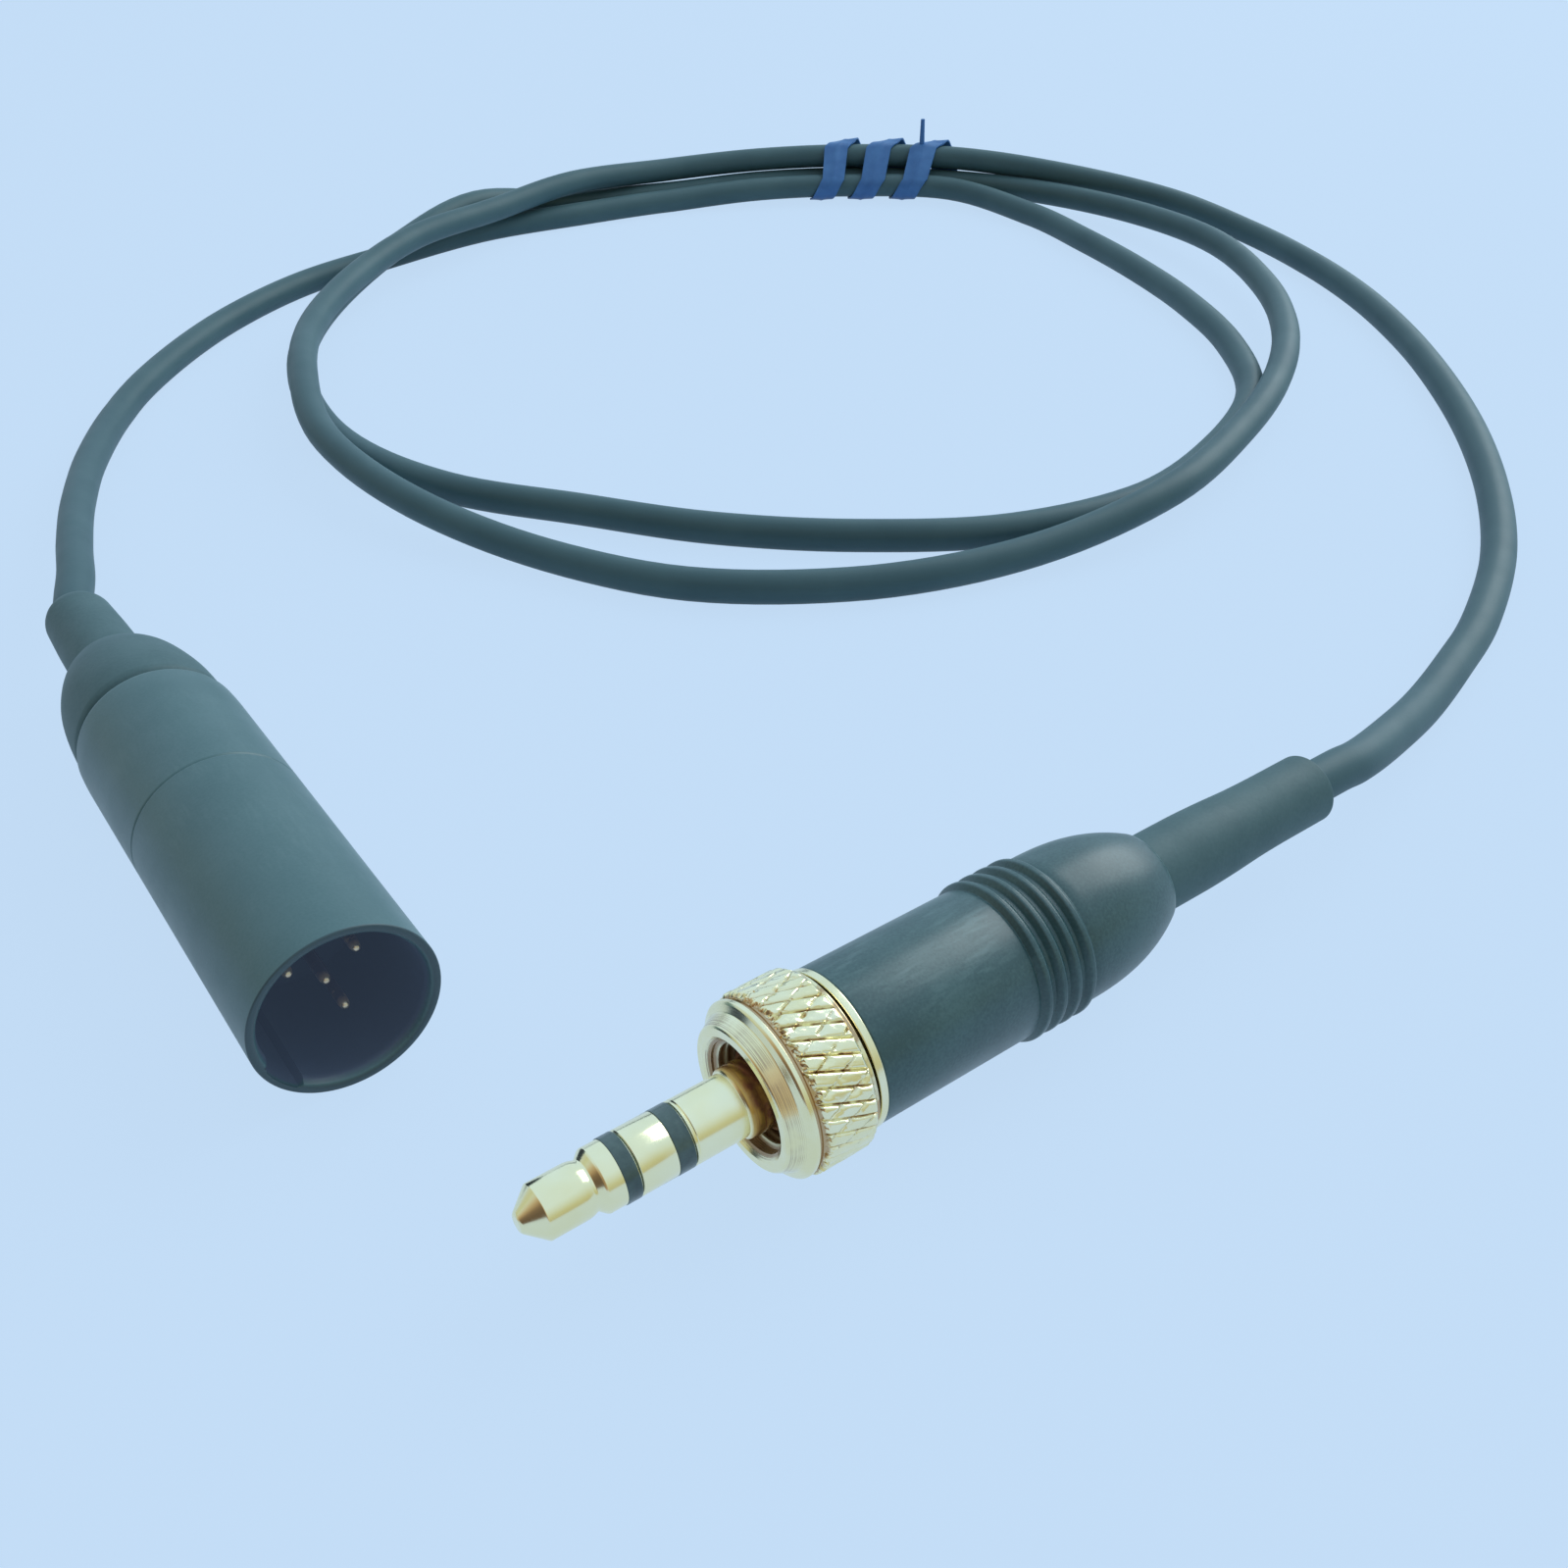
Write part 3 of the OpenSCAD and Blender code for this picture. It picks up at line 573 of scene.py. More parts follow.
@dataclass(frozen=True)
class LockGold(Plated):
    """Plating of the lock ring: a brushed cone coloured with a painted reflection, a dull bore, and painted
    shade in its grooves and on its thread.

    Attributes:
        brushed: First and last station of the brushed cone.
        cone_reflection: Colour of the brushed streaks on the cone, a painted reflection.
        recess_shade: Colour of the painted shade in the grooves and on the thread.
        grooves_from: Station from which the painted shade lies in the grooves.
        groove_r: Radii at which the painted shade is full and gone in a groove.
        thread_r: Radii at which the painted shade on the thread starts, is full, wanes and is gone.
        knurl: The knurl that it covers.
        line_half_w: Half the width of a line at the bottom of a cut, in pitches.
        strike: Depth of a cross cut's line, in heights of the turning marks.
    """

    brushed: tuple[float, float] = (11.54, 12.30)
    cone_reflection: Rgb = (0.38, 0.27, 0.20)
    recess_shade: Rgb = (0.46, 0.27, 0.13)
    grooves_from: float = 12.82
    groove_r: tuple[float, float] = (4.88, 5.02)
    thread_r: tuple[float, float, float, float] = (2.92, 3.06, 3.2, 3.3)
    knurl: Knurl = KNURL
    line_half_w: float = 0.075
    strike: float = 14.0

    def streaks(self, graph: NodeGraph) -> Link:
        """Where the cone is brushed dull and carries its painted reflection, from 0 to 1."""
        station = self.axis.station(graph)
        first, last = self.brushed
        cone = station.step(first - 0.02, first + 0.04) * station.step(last + 0.02, last - 0.04)
        lines = self.axis.rings(graph, 0.045).step(0.40, 0.60)
        arcs = graph.noise(1.6, 2.0).step(0.38, 0.60)
        return cone * lines * arcs

    def bottoms(self, graph: NodeGraph, count: int, twist: float) -> Link:
        """The bottoms of the grooves or of the cross cuts, as broken fine lines.

        Args:
            graph: The graph that the nodes go in.
            count: Their number round the ring.
            twist: How far they wind, in degrees a millimetre.

        Returns:
            The lines, from 0 to 1.
        """
        first, last = self.knurl.start, self.knurl.end
        station = self.axis.station(graph)
        aside = self.axis.offset(graph, 1 - self.axis.along)
        turn = aside.maths("ARCTAN2", aside, 0.0 - self.axis.height(graph)) * (count / math.tau)
        wound = turn - (station - first) * (count * twist / 360)
        line = wound.maths("PINGPONG", wound, 0.5).step(self.line_half_w, 0.02)
        broken = graph.noise(0.5, 2.0).step(0.42, 0.54)
        band = station.step(first + 0.05, first + 0.15) * station.step(last - 0.02, last - 0.15)
        return line * broken * band

    def groove_lines(self, graph: NodeGraph) -> Link:
        """The bottoms of the grooves, from 0 to 1."""
        return self.bottoms(graph, self.knurl.grooves, self.knurl.groove_twist)

    def cut_lines(self, graph: NodeGraph) -> Link:
        """The bottoms of the cross cuts, from 0 to 1."""
        return self.bottoms(graph, self.knurl.cuts, self.knurl.cut_twist)

    def relief(self, graph: NodeGraph) -> Link:
        """Turning marks, with the knurl's cross cuts struck deeper."""
        return super().relief(graph) - self.cut_lines(graph) * self.strike

    def tint(self, graph: NodeGraph) -> Link:
        """The colour over the surface: the cone's painted reflection, painted shade in the grooves and on
        the thread, and the darkest painted shade along the lines on top.
        """
        station, radius = self.axis.station(graph), self.axis.radius(graph)
        first, last = self.knurl.start, self.knurl.end
        full_r, unshaded_r = self.groove_r
        starts_r, shaded_r, wanes_r, ends_r = self.thread_r
        ragged = station + graph.noise(0.4, 2.0) * 0.5
        patches = graph.noise(1.1, 3.0).step(0.42, 0.58).larger(ragged.step(first + 0.44, first + 0.36))
        band = station.step(self.grooves_from, self.grooves_from + 0.04)
        grooves = band * station.step(last + 0.3, last + 0.2) * radius.step(unshaded_r, full_r) * patches
        thread = radius.step(ends_r, wanes_r) * radius.step(starts_r, shaded_r)
        # Painted reflection: the brushed streaks on the cone are coloured brown as a dark reflection.
        colour = graph.blend(self.streaks(graph) * 0.85, super().tint(graph), self.cone_reflection)
        # Painted shade: deep in the knurl's grooves and on the thread the gold is darkened brown.
        colour = graph.blend((grooves + thread).smaller(0.8), colour, self.recess_shade)
        # Painted shade along the bottoms of the grooves and cross cuts, darkest of all.
        lines = self.cut_lines(graph) * 0.22 + self.groove_lines(graph) * patches * 0.8
        return graph.blend(lines.smaller(0.9), colour, [part * 0.7 for part in self.recess_shade])

    def gloss(self, graph: NodeGraph) -> Link:
        """The roughness over the surface."""
        return super().gloss(graph) + self.streaks(graph) * 0.12

    def metal(self, graph: NodeGraph) -> Value:
        """How metallic the surface is: less in the bore, where it is dull."""
        return self.axis.radius(graph).step(3.2, 3.4) * 0.55 + 0.45


@dataclass(frozen=True)
class SocketShell(SatinShell):
    """Painted shell with a bare moulded socket inside.

    Attributes:
        socket_r: Radius inside which the socket lies.
        rim: A darker colour on the rim's front face.
        lining: Colour of the socket's wall.
        lining_glow: Painted light, an emission that lifts the socket's blacks.
    """

    socket_r: float = 5.25
    rim: Rgb = (0.042, 0.082, 0.098)
    lining: Rgb = (0.050, 0.068, 0.105)
    lining_glow: Rgb = (0.016, 0.024, 0.038)

    def inside(self, graph: NodeGraph) -> Link:
        """Where the socket's wall is, from 0 to 1."""
        narrow = self.axis.radius(graph).step(self.socket_r, self.socket_r - 0.1)
        return narrow * self.axis.station(graph).step(0.12, 0.5)

    def tint(self, graph: NodeGraph) -> Link:
        """The colour over the surface."""
        front = self.axis.station(graph).step(0.14, 0.05)
        colour = graph.blend(front, super().tint(graph), self.rim)
        return graph.blend(self.inside(graph), colour, self.lining)

    def glow(self, graph: NodeGraph) -> Any:
        """The painted glow over the surface, its own on the socket's wall."""
        return graph.blend(self.inside(graph), self.painted_glow, self.lining_glow)


XLR_PAINT = SocketShell(
    "xlr_housing_paint", Slot.XLR_HOUSING, (0.066, 0.150, 0.160), (0.088, 0.180, 0.190), 0.42,
    axis=XLR_AXIS, scuffed=(0.0, 31.0), scuff=0.10, cloud_size=6.0, speckle=0.5, specular=0.6,
)
# The jack's scuffing lies on its top only, where it is partly a painted highlight.
JACK_PAINT = SatinShell(
    "jack_housing_paint", Slot.JACK_HOUSING, (0.032, 0.086, 0.092), (0.060, 0.134, 0.138), 0.36,
    axis=JACK_AXIS, scuffed=(16.0, 30.0), scuffs_and_highlight_above=2.0, scuff=0.4, scuff_colour=(0.17, 0.28, 0.28),
    worn_edges=(39.4,), cloud_size=5.0, speckle=0.7, specular=0.6,
)
SOFT_BLACK = Finish(
    "soft_black_rubber", Slot.SOFT_BLACK, (0.060, 0.126, 0.136), (0.080, 0.154, 0.164), 0.58,
    grain_size=0.18, grain_depth=0.008, speckle=0.5,
)
JACKET = Finish(
    "jacket_rubber", Slot.JACKET, (0.058, 0.122, 0.140), (0.076, 0.148, 0.164), 0.52,
    cloud_size=7.0, grain_size=0.22, grain_depth=0.007, specular=0.35,
)
# The insert's face carries a painted glow that lifts its blacks.
SOCKET_FACE = Finish(
    "socket_face_moulding", Slot.INSULATOR, (0.042, 0.057, 0.088), (0.050, 0.066, 0.100), 0.5,
    grain_size=0.2, painted_glow=(0.015, 0.023, 0.038),
)
INSERT = Finish(
    "insert_moulding", Slot.INSULATOR, (0.020, 0.030, 0.045), (0.026, 0.036, 0.052), 0.5, grain_size=0.2,
)
BANDS = Finish(
    "band_moulding", Slot.INSULATOR, (0.030, 0.068, 0.066), (0.090, 0.150, 0.142), 0.24,
    cloud_size=0.8, grain_size=0.08, specular=0.7,
)
CONTACT_GOLD = Plated(
    "contact_gold", Slot.CONTACT_GOLD, (0.96, 0.90, 0.62), (0.93, 0.84, 0.50), 0.17,
    cloud_size=3.0, grain_size=0.1, grain_depth=0.0012, spread=0.05,
)
# On the jack's stem, under the lock ring, the amber and brown are partly staining and partly painted shade
# and reflection of the ring.
SLEEVE_GOLD = StainAndShadeGold(
    "sleeve_gold", Slot.CONTACT_GOLD, (0.96, 0.90, 0.62), (0.93, 0.84, 0.50), 0.18,
    cloud_size=3.0, grain_size=0.1, grain_depth=0.0012, spread=0.05,
)
HARDWARE_GOLD = LockGold(
    "hardware_gold", Slot.HARDWARE_GOLD, (0.95, 0.89, 0.62), (0.91, 0.82, 0.48), 0.20,
    cloud_size=2.0, grain_size=0.07, grain_depth=0.0018, spread=0.06, mark_size=0.07,
)
# The pins are painted with shade: a darker gold, then amber and a dark navy-brown past the tips, as they
# lie deep in the socket.
PIN_GOLD_SHADED = StainAndShadeGold(
    "pin_gold_with_painted_shade", Slot.CONTACT_GOLD, (0.66, 0.55, 0.38), (0.50, 0.38, 0.24), 0.34,
    axis=XLR_AXIS, cloud_size=0.5, grain_size=0.08, grain_depth=0.0012, stain_and_shade_from=2.84,
    stain_and_shade_metal=0.0, amber_for=1.5, amber=(0.30, 0.21, 0.15), brown=(0.055, 0.064, 0.090),
    painted_glow=(0.015, 0.021, 0.034),
)
NICKEL = Finish(
    "nickel_plate", Slot.NICKEL, (0.60, 0.60, 0.58), (0.50, 0.50, 0.47), 0.28, metallic=1.0,
    cloud_size=1.5, grain_size=0.08, grain_depth=0.002,
)
WIRE_RED = Finish(
    "red_insulation", Slot.WIRE_RED, (0.42, 0.03, 0.02), (0.50, 0.05, 0.03), 0.4, cloud_size=1.5,
)
WIRE_WHITE = Finish(
    "white_insulation", Slot.WIRE_WHITE, (0.72, 0.72, 0.68), (0.64, 0.64, 0.58), 0.4, cloud_size=1.5,
)
WIRE_BLUE = Finish(
    "blue_insulation", Slot.WIRE_BLUE, (0.03, 0.10, 0.40), (0.05, 0.14, 0.46), 0.4, cloud_size=1.5,
)
TIE_RIBBON = Finish(
    "ribbon_plastic", Slot.TIE, (0.038, 0.145, 0.390), (0.062, 0.200, 0.470), 0.42,
    cloud_size=1.6, grain_size=0.25, grain_depth=0.01,
)


# ---- Meshes ----


def rounded(corners: Sequence[Corner], closed: bool, steps: int = 5) -> list[tuple[float, float]]:
    """Round the corners of an outline, and hold the flats beside each round with a point.

    Args:
        corners: Radius and station of each corner, and its rounding where it has one.
        closed: Whether the last corner joins the first.
        steps: Number of spans in a round.

    Returns:
        The outline's points.
    """
    points: list[tuple[float, float]] = []
    count = len(corners)
    for i, corner in enumerate(corners):
        here = Vector(corner[:2])
        if len(corner) < 3 or (not closed and i in (0, count - 1)):
            points.append(tuple(here))
            continue
        before, after = Vector(corners[i - 1][:2]) - here, Vector(corners[(i + 1) % count][:2]) - here
        cut = min(corner[2], 0.4 * before.length, 0.4 * after.length)
        before, after = before.normalized(), after.normalized()
        points.append(tuple(here + before * cut * 1.25))
        for k in range(steps + 1):
            s = k / steps
            start, end = here + before * cut, here + after * cut
            points.append(tuple(start * (1 - s) ** 2 + here * 2 * s * (1 - s) + end * s * s))
        points.append(tuple(here + after * cut * 1.25))
    return points


def turned(corners: Sequence[Corner], closed: bool = True, segments: int = 128) -> bmesh.types.BMesh:
    """Turn an outline about the z axis.

    Args:
        corners: The outline's corners, as rounded takes them.
        closed: Whether it is a ring's section. Otherwise it starts and ends on the axis.
        segments: Number of spans round the axis.

    Returns:
        The closed skin, with its faces outwards, in millimetres.
    """
    bm = bmesh.new()
    verts = [bm.verts.new((r, 0.0, t)) for r, t in rounded(corners, closed)]
    edges = [bm.edges.new(pair) for pair in zip(verts, verts[1:])]
    if closed:
        edges.append(bm.edges.new((verts[-1], verts[0])))
    bmesh.ops.spin(
        bm, geom=verts + edges, cent=(0, 0, 0), axis=(0, 0, 1), angle=math.tau, steps=segments,
        use_merge=True,
    )
    bmesh.ops.remove_doubles(bm, verts=bm.verts[:], dist=1e-4)
    bmesh.ops.recalc_face_normals(bm, faces=bm.faces[:])
    return bm


def swept(outline: Sequence[tuple[float, float]], frames: Sequence[Matrix]) -> bmesh.types.BMesh:
    """Draw an outline along a row of frames, and close both ends.

    Args:
        outline: The section's points, as (x, y) in each frame.
        frames: The frames, in order.

    Returns:
        The closed skin, with its faces outwards.
    """
    bm = bmesh.new()
    ring = [bm.verts.new(frames[0] @ Vector((x, y, 0.0))) for x, y in outline]
    edges = [bm.edges.new(pair) for pair in zip(ring, ring[1:] + ring[:1])]
    bm.faces.new(ring)
    for last, this in zip(frames, frames[1:]):
        made = bmesh.ops.extrude_edge_only(bm, edges=edges)["geom"]
        verts = [g for g in made if isinstance(g, bmesh.types.BMVert)]
        edges = [g for g in made if isinstance(g, bmesh.types.BMEdge) and all(v in verts for v in g.verts)]
        bmesh.ops.transform(bm, matrix=this @ last.inverted(), verts=verts)
    bmesh.ops.contextual_create(bm, geom=edges)
    bmesh.ops.recalc_face_normals(bm, faces=bm.faces[:])
    return bm


def join(first: bmesh.types.BMesh, second: bmesh.types.BMesh) -> bmesh.types.BMesh:
    """Put the second mesh's skin into the first."""
    mesh = bpy.data.meshes.new("joined")
    second.to_mesh(mesh)
    second.free()
    first.from_mesh(mesh)
    bpy.data.meshes.remove(mesh)
    return first


def dress(
    name: str,
    bm: bmesh.types.BMesh,
    place: Matrix,
    finish: Finish,
    body: Body,
    nodes: Sequence[str],
    sharp: float = 35.0,
) -> None:
    """Make a mesh the scene's piece that stands for some CAD nodes.

    Args:
        name: The piece's name.
        bm: Its skin, which is used up.
        place: From the skin's own frame to the shared frame.
        finish: Its surface.
        body: What it rides on.
        nodes: The CAD nodes that it replaces.
        sharp: Angle in degrees above which an edge stays sharp.
    """
    bm.transform(place)
    open_edges = sum(1 for edge in bm.edges if len(edge.link_faces) != 2)
    mesh = bpy.data.meshes.new(name)
    bm.to_mesh(mesh)
    bm.free()
    mesh.shade_smooth()
    mesh.set_sharp_from_angle(angle=math.radians(sharp))
    mesh.materials.append(finish.material())
    piece = bpy.data.objects.new(name, mesh)
    bpy.context.scene.collection.objects.link(piece)
    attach(piece, body.value)
    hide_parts(*nodes)
    log.info("%s: %d faces, %d open edges, on %s", name, len(mesh.polygons), open_edges, body.value)


# ---- Mini-XLR plug ----


@dataclass
class MiniXlrPlug:
    """The four-pin mini-XLR plug. Stations run from its rim to the cable, in millimetres."""

    shell_r: float = 5.45
    bore_r: float = 4.7
    seat_r: float = 4.85
    socket_depth: float = 9.0
    insert_end: float = 13.6
    insert_bore_r: float = 4.18
    spigot_r: float = 4.83
    spigot_end: float = 22.2
    seam: float = 18.8
    rear_end: float = 30.6
    rear_bore_r: float = 4.6
    cap_front: float = 26.6
    cap_plug_r: float = 4.58
    waist_r: float = 4.7
    cap_start: float = 31.1
    cap_end: float = 40.7
    cap_r: float = 5.15
    sleeve_r: float = 2.7
    cable_exit: float = 49.8
    cable_bore_r: float = 1.45
    pin_r: float = 0.45
    pin_nose_r: float = 0.33
    pin_circle_r: float = 2.4
    pin_recess: float = 2.7
    pin_spread: float = 107.0
    cup_r: float = 0.62
    cup_bore_r: float = 0.41
    cup_floor: float = 15.0
    cup_end: float = 17.2
    clocking: float = 33.0
    keyway_turn: float = 213.0
    keyway_half_w: float = 1.3
    keyway_depth: float = 0.42
    keyway_end: float = 8.0
    axis: PlugAxis = XLR_AXIS

    def cut_keyway(self, bm: bmesh.types.BMesh) -> None:
        """Press the keyway into the socket's wall."""
        turn = math.radians(-self.keyway_turn)
        floor_r = self.bore_r + self.keyway_depth
        for vert in bm.verts:
            radius = math.hypot(vert.co.x, vert.co.y)
            along = vert.co.x * math.cos(turn) + vert.co.y * math.sin(turn)
            aside = vert.co.y * math.cos(turn) - vert.co.x * math.sin(turn)
            inside = radius < floor_r and vert.co.z < self.keyway_end
            if inside and along > 0 and abs(aside) < self.keyway_half_w:
                vert.co.x *= floor_r / radius
                vert.co.y *= floor_r / radius

    def shell(self) -> None:
        """Front shell: a tube with a rounded rim and a keyway in the socket's wall."""
        r, bore = self.shell_r, self.bore_r
        bm = turned(
            [
                (bore, self.socket_depth), (bore, self.keyway_end + 0.05),
                (bore, self.keyway_end - 0.05), (bore, 0.6, 0.35),
                (bore + 0.22, 0.12, 0.25), (r - 0.3, 0.0, 0.2), (r - 0.07, 0.0, 0.05), (r, 0.07, 0.05),
                (r, self.seam - 0.12, 0.06), (r - 0.06, self.seam), (self.seat_r, self.seam),
                (self.seat_r, self.socket_depth),
            ],
            segments=180,
        )
        self.cut_keyway(bm)
        dress("mini_xlr_shell", bm, self.axis.matrix(), XLR_PAINT, Body.CABLE, ["xlr_shell"])

    def rear_shell(self) -> None:
        """Rear shell: it carries the insert in front and the soft cap behind."""
        r = self.shell_r
        bm = turned(
            [
                (self.insert_bore_r, self.insert_end), (self.spigot_r, self.insert_end),
                (self.spigot_r, self.seam), (r - 0.06, self.seam), (r, self.seam + 0.12, 0.06),
                (r, self.rear_end - 1.6, 0.6), (r - 0.06, self.rear_end - 0.35, 0.1),
                (r - 0.22, self.rear_end, 0.08), (self.rear_bore_r, self.rear_end),
                (self.rear_bore_r, self.spigot_end), (self.insert_bore_r, self.spigot_end),
            ],
            segments=180,
        )
        dress("mini_xlr_rear_shell", bm, self.axis.matrix(), XLR_PAINT, Body.CABLE, ["xlr_rear_shell"])

    def pins(self) -> None:
        """Four gold pins with rounded tips and solder cups: the fourth in the middle, three round it."""
        tip = self.pin_recess
        outline: list[Corner] = [
            (0.0, tip), (0.11, tip + 0.01), (0.2, tip + 0.07), (0.27, tip + 0.2), (0.31, tip + 0.4),
            (self.pin_nose_r, tip + 0.7), (self.pin_nose_r, self.socket_depth - 0.3),
            (self.pin_r, self.socket_depth), (self.pin_r, self.insert_end - 0.02),
            (self.cup_r, self.insert_end, 0.05), (self.cup_r, self.cup_end, 0.05),
            (self.cup_bore_r, self.cup_end), (self.cup_bore_r, self.cup_floor), (0.0, self.cup_floor),
        ]
        spots = {4: Vector((0.0, 0.0, 0.0))}
        for number, offset in ((1, 0.0), (2, self.pin_spread), (3, -self.pin_spread)):
            turn = math.radians(self.clocking + offset)
            spots[number] = Vector((math.cos(turn), -math.sin(turn), 0.0)) * self.pin_circle_r
        for number, spot in spots.items():
            bm = turned(outline, closed=False, segments=48)
            place = self.axis.matrix() @ Matrix.Translation(spot)
            dress(f"mini_xlr_pin_{number}", bm, place, PIN_GOLD_SHADED, Body.CABLE, [f"xlr_pin_{number}"])

    def rear_cap(self) -> None:
        """Soft cap that swells from the cable sleeve to the shell, with an edge that isn't quite even."""
        length = self.cap_end - self.cap_start
        end_r = self.sleeve_r + 0.15
        dome = [
            (self.cap_r + (end_r - self.cap_r) * s ** 2.8, self.cap_start + s * length)
            for s in (0.08 + 0.0306 * i for i in range(31))
        ]
        bm = turned(
            [
                (self.sleeve_r, self.cap_front), (self.cap_plug_r, self.cap_front),
                (self.cap_plug_r, self.rear_end), (self.waist_r, self.rear_end),
                (self.waist_r, self.cap_start), (4.9, self.cap_start, 0.04),
                (5.06, self.cap_start + 0.2, 0.15), (self.cap_r, self.cap_start + 0.5, 0.15), *dome,
                (self.sleeve_r, self.cap_end),
            ]
        )
        for vert in bm.verts:
            if vert.co.z > self.cap_start - 0.01 and math.hypot(vert.co.x, vert.co.y) > self.sleeve_r + 0.1:
                drift = noise.noise(Vector((vert.co.x * 0.35, vert.co.y * 0.35, vert.co.z * 0.3)))
                vert.co.x *= 1 + 0.012 * drift
                vert.co.y *= 1 + 0.012 * drift
        dress("mini_xlr_rear_cap", bm, self.axis.matrix(), SOFT_BLACK, Body.CABLE, ["xlr_rear_cap"])

    def cable_sleeve(self) -> None:
        """Cable sleeve behind the cap."""
        bm = turned(
            [
                (self.cable_bore_r, self.cap_front), (self.sleeve_r, self.cap_front),
                (self.sleeve_r, self.cap_end, 0.5), (2.58, 45.6, 0.5),
                (2.42, self.cable_exit - 0.6, 0.3), (2.2, self.cable_exit, 0.25),
                (self.cable_bore_r, self.cable_exit),
            ]
        )
        dress("mini_xlr_cable_sleeve", bm, self.axis.matrix(), SOFT_BLACK, Body.CABLE, ["xlr_cable_sleeve"])

    def build(self) -> None:
        """Build the plug's visible pieces."""
        self.shell()
        self.rear_shell()
        self.pins()
        self.rear_cap()
        self.cable_sleeve()


# ---- Jack plug ----


@dataclass
class JackPlug:
    """The jack plug without its lock ring. Stations run from its tip's cylinder, in millimetres."""

    shaft_r: float = 1.75
    tip_rod_r: float = 0.5
    front_tube_r: float = 0.76
    ring_tube_r: float = 1.02
    rear_tube_r: float = 1.28
    tip_end: float = 25.1
    front_tube_end: float = 24.2
    ring_tube_end: float = 23.6
    rear_tube_end: float = 23.1
    band_front: float = 3.9
    ring: float = 4.7
    band_rear: float = 6.8
    sleeve: float = 7.75
    stem: float = 10.9
    stem_rear: float = 12.6
    journal: float = 15.45
    collar: float = 16.9
    shell_front: float = 17.35
    boss_end: float = 22.5
    boss_r: float = 3.85
    boss_bore_r: float = 2.4
    shell_r: float = 4.5
    collar_r: float = 4.55
    bore_r: float = 3.9
    ribs: float = 27.6
    rib_count: int = 4
    rib_pitch: float = 1.05
    rib_height: float = 0.28
    tail: float = 32.5
    rim: float = 39.4
    rim_r: float = 3.0
    boot_start: float = 33.7
    boot_r: float = 2.45
    boot_end: float = 54.2
    cable_bore_r: float = 1.45
    axis: PlugAxis = JACK_AXIS

    def turn_piece(
        self, name: str, outline: Sequence[Corner], finish: Finish, node: str, closed: bool = True
    ) -> None:
        """Turn a piece of the plug, and put it in its node's place.

        Args:
            name: The piece's name.
            outline: Its outline, as turned takes it.
            finish: Its surface.
            node: The CAD node that it replaces.
            closed: Whether it is a ring's section.
        """
        bm = turned(outline, closed, 144)
        dress(name, bm, self.axis.matrix(), finish, Body.CABLE, [node])

    def tip_contact(self) -> None:
        """Tip contact, with its rod inside the plug."""
        r, rod_r, end = self.shaft_r, self.tip_rod_r, self.tip_end
        outline = [
            (0.0, -1.15), (0.46, -1.14, 0.03), (0.58, -1.05, 0.05), (1.46, -0.05, 0.02),
            (1.48, 0.0), (1.48, 2.0), (1.44, 2.25), (1.36, 2.48, 0.05), (1.36, 2.6, 0.03),
            (1.66, 2.93, 0.03), (r - 0.03, 3.04, 0.03), (r - 0.03, self.band_front),
            (rod_r, self.band_front), (rod_r, end - 0.4), (rod_r + 0.3, end - 0.4),
            (rod_r + 0.3, end, 0.1), (0.0, end),
        ]
        self.turn_piece("jack_tip_contact", outline, CONTACT_GOLD, "jack_tip", closed=False)

    def front_band(self) -> None:
        """Band between tip and ring, with its insulating tube inside the plug."""
        face_r, rod_r, tube_r = self.shaft_r + 0.01, self.tip_rod_r, self.front_tube_r
        outline = [
            (rod_r, self.band_front), (face_r, self.band_front, 0.05), (face_r, self.ring, 0.05),
            (tube_r, self.ring), (tube_r, self.front_tube_end), (rod_r, self.front_tube_end),
        ]
        self.turn_piece("jack_front_band", outline, BANDS, "jack_front_insulator")

    def ring_contact(self) -> None:
        """Ring contact, with its tube inside the plug."""
        r, bore_r, tube_r, end = self.shaft_r, self.front_tube_r, self.ring_tube_r, self.ring_tube_end
        outline = [
            (bore_r, self.ring), (r - 0.1, self.ring), (r - 0.1, self.ring + 0.04),
            (r, self.ring + 0.13), (r, self.band_rear - 0.05), (r - 0.03, self.band_rear),
            (tube_r, self.band_rear), (tube_r, end), (bore_r, end),
        ]
        self.turn_piece("jack_ring", outline, CONTACT_GOLD, "jack_ring_contact")

    def rear_band(self) -> None:
        """Band between ring and sleeve, with its insulating tube inside the plug."""
        face_r, bore_r, tube_r = self.shaft_r + 0.01, self.ring_tube_r, self.rear_tube_r
        outline = [
            (bore_r, self.band_rear), (face_r, self.band_rear, 0.05), (face_r, self.sleeve, 0.05),
            (tube_r, self.sleeve), (tube_r, self.boss_end), (2.2, self.boss_end),
            (2.2, self.rear_tube_end), (bore_r, self.rear_tube_end),
        ]
        self.turn_piece("jack_rear_band", outline, BANDS, "jack_rear_insulator")

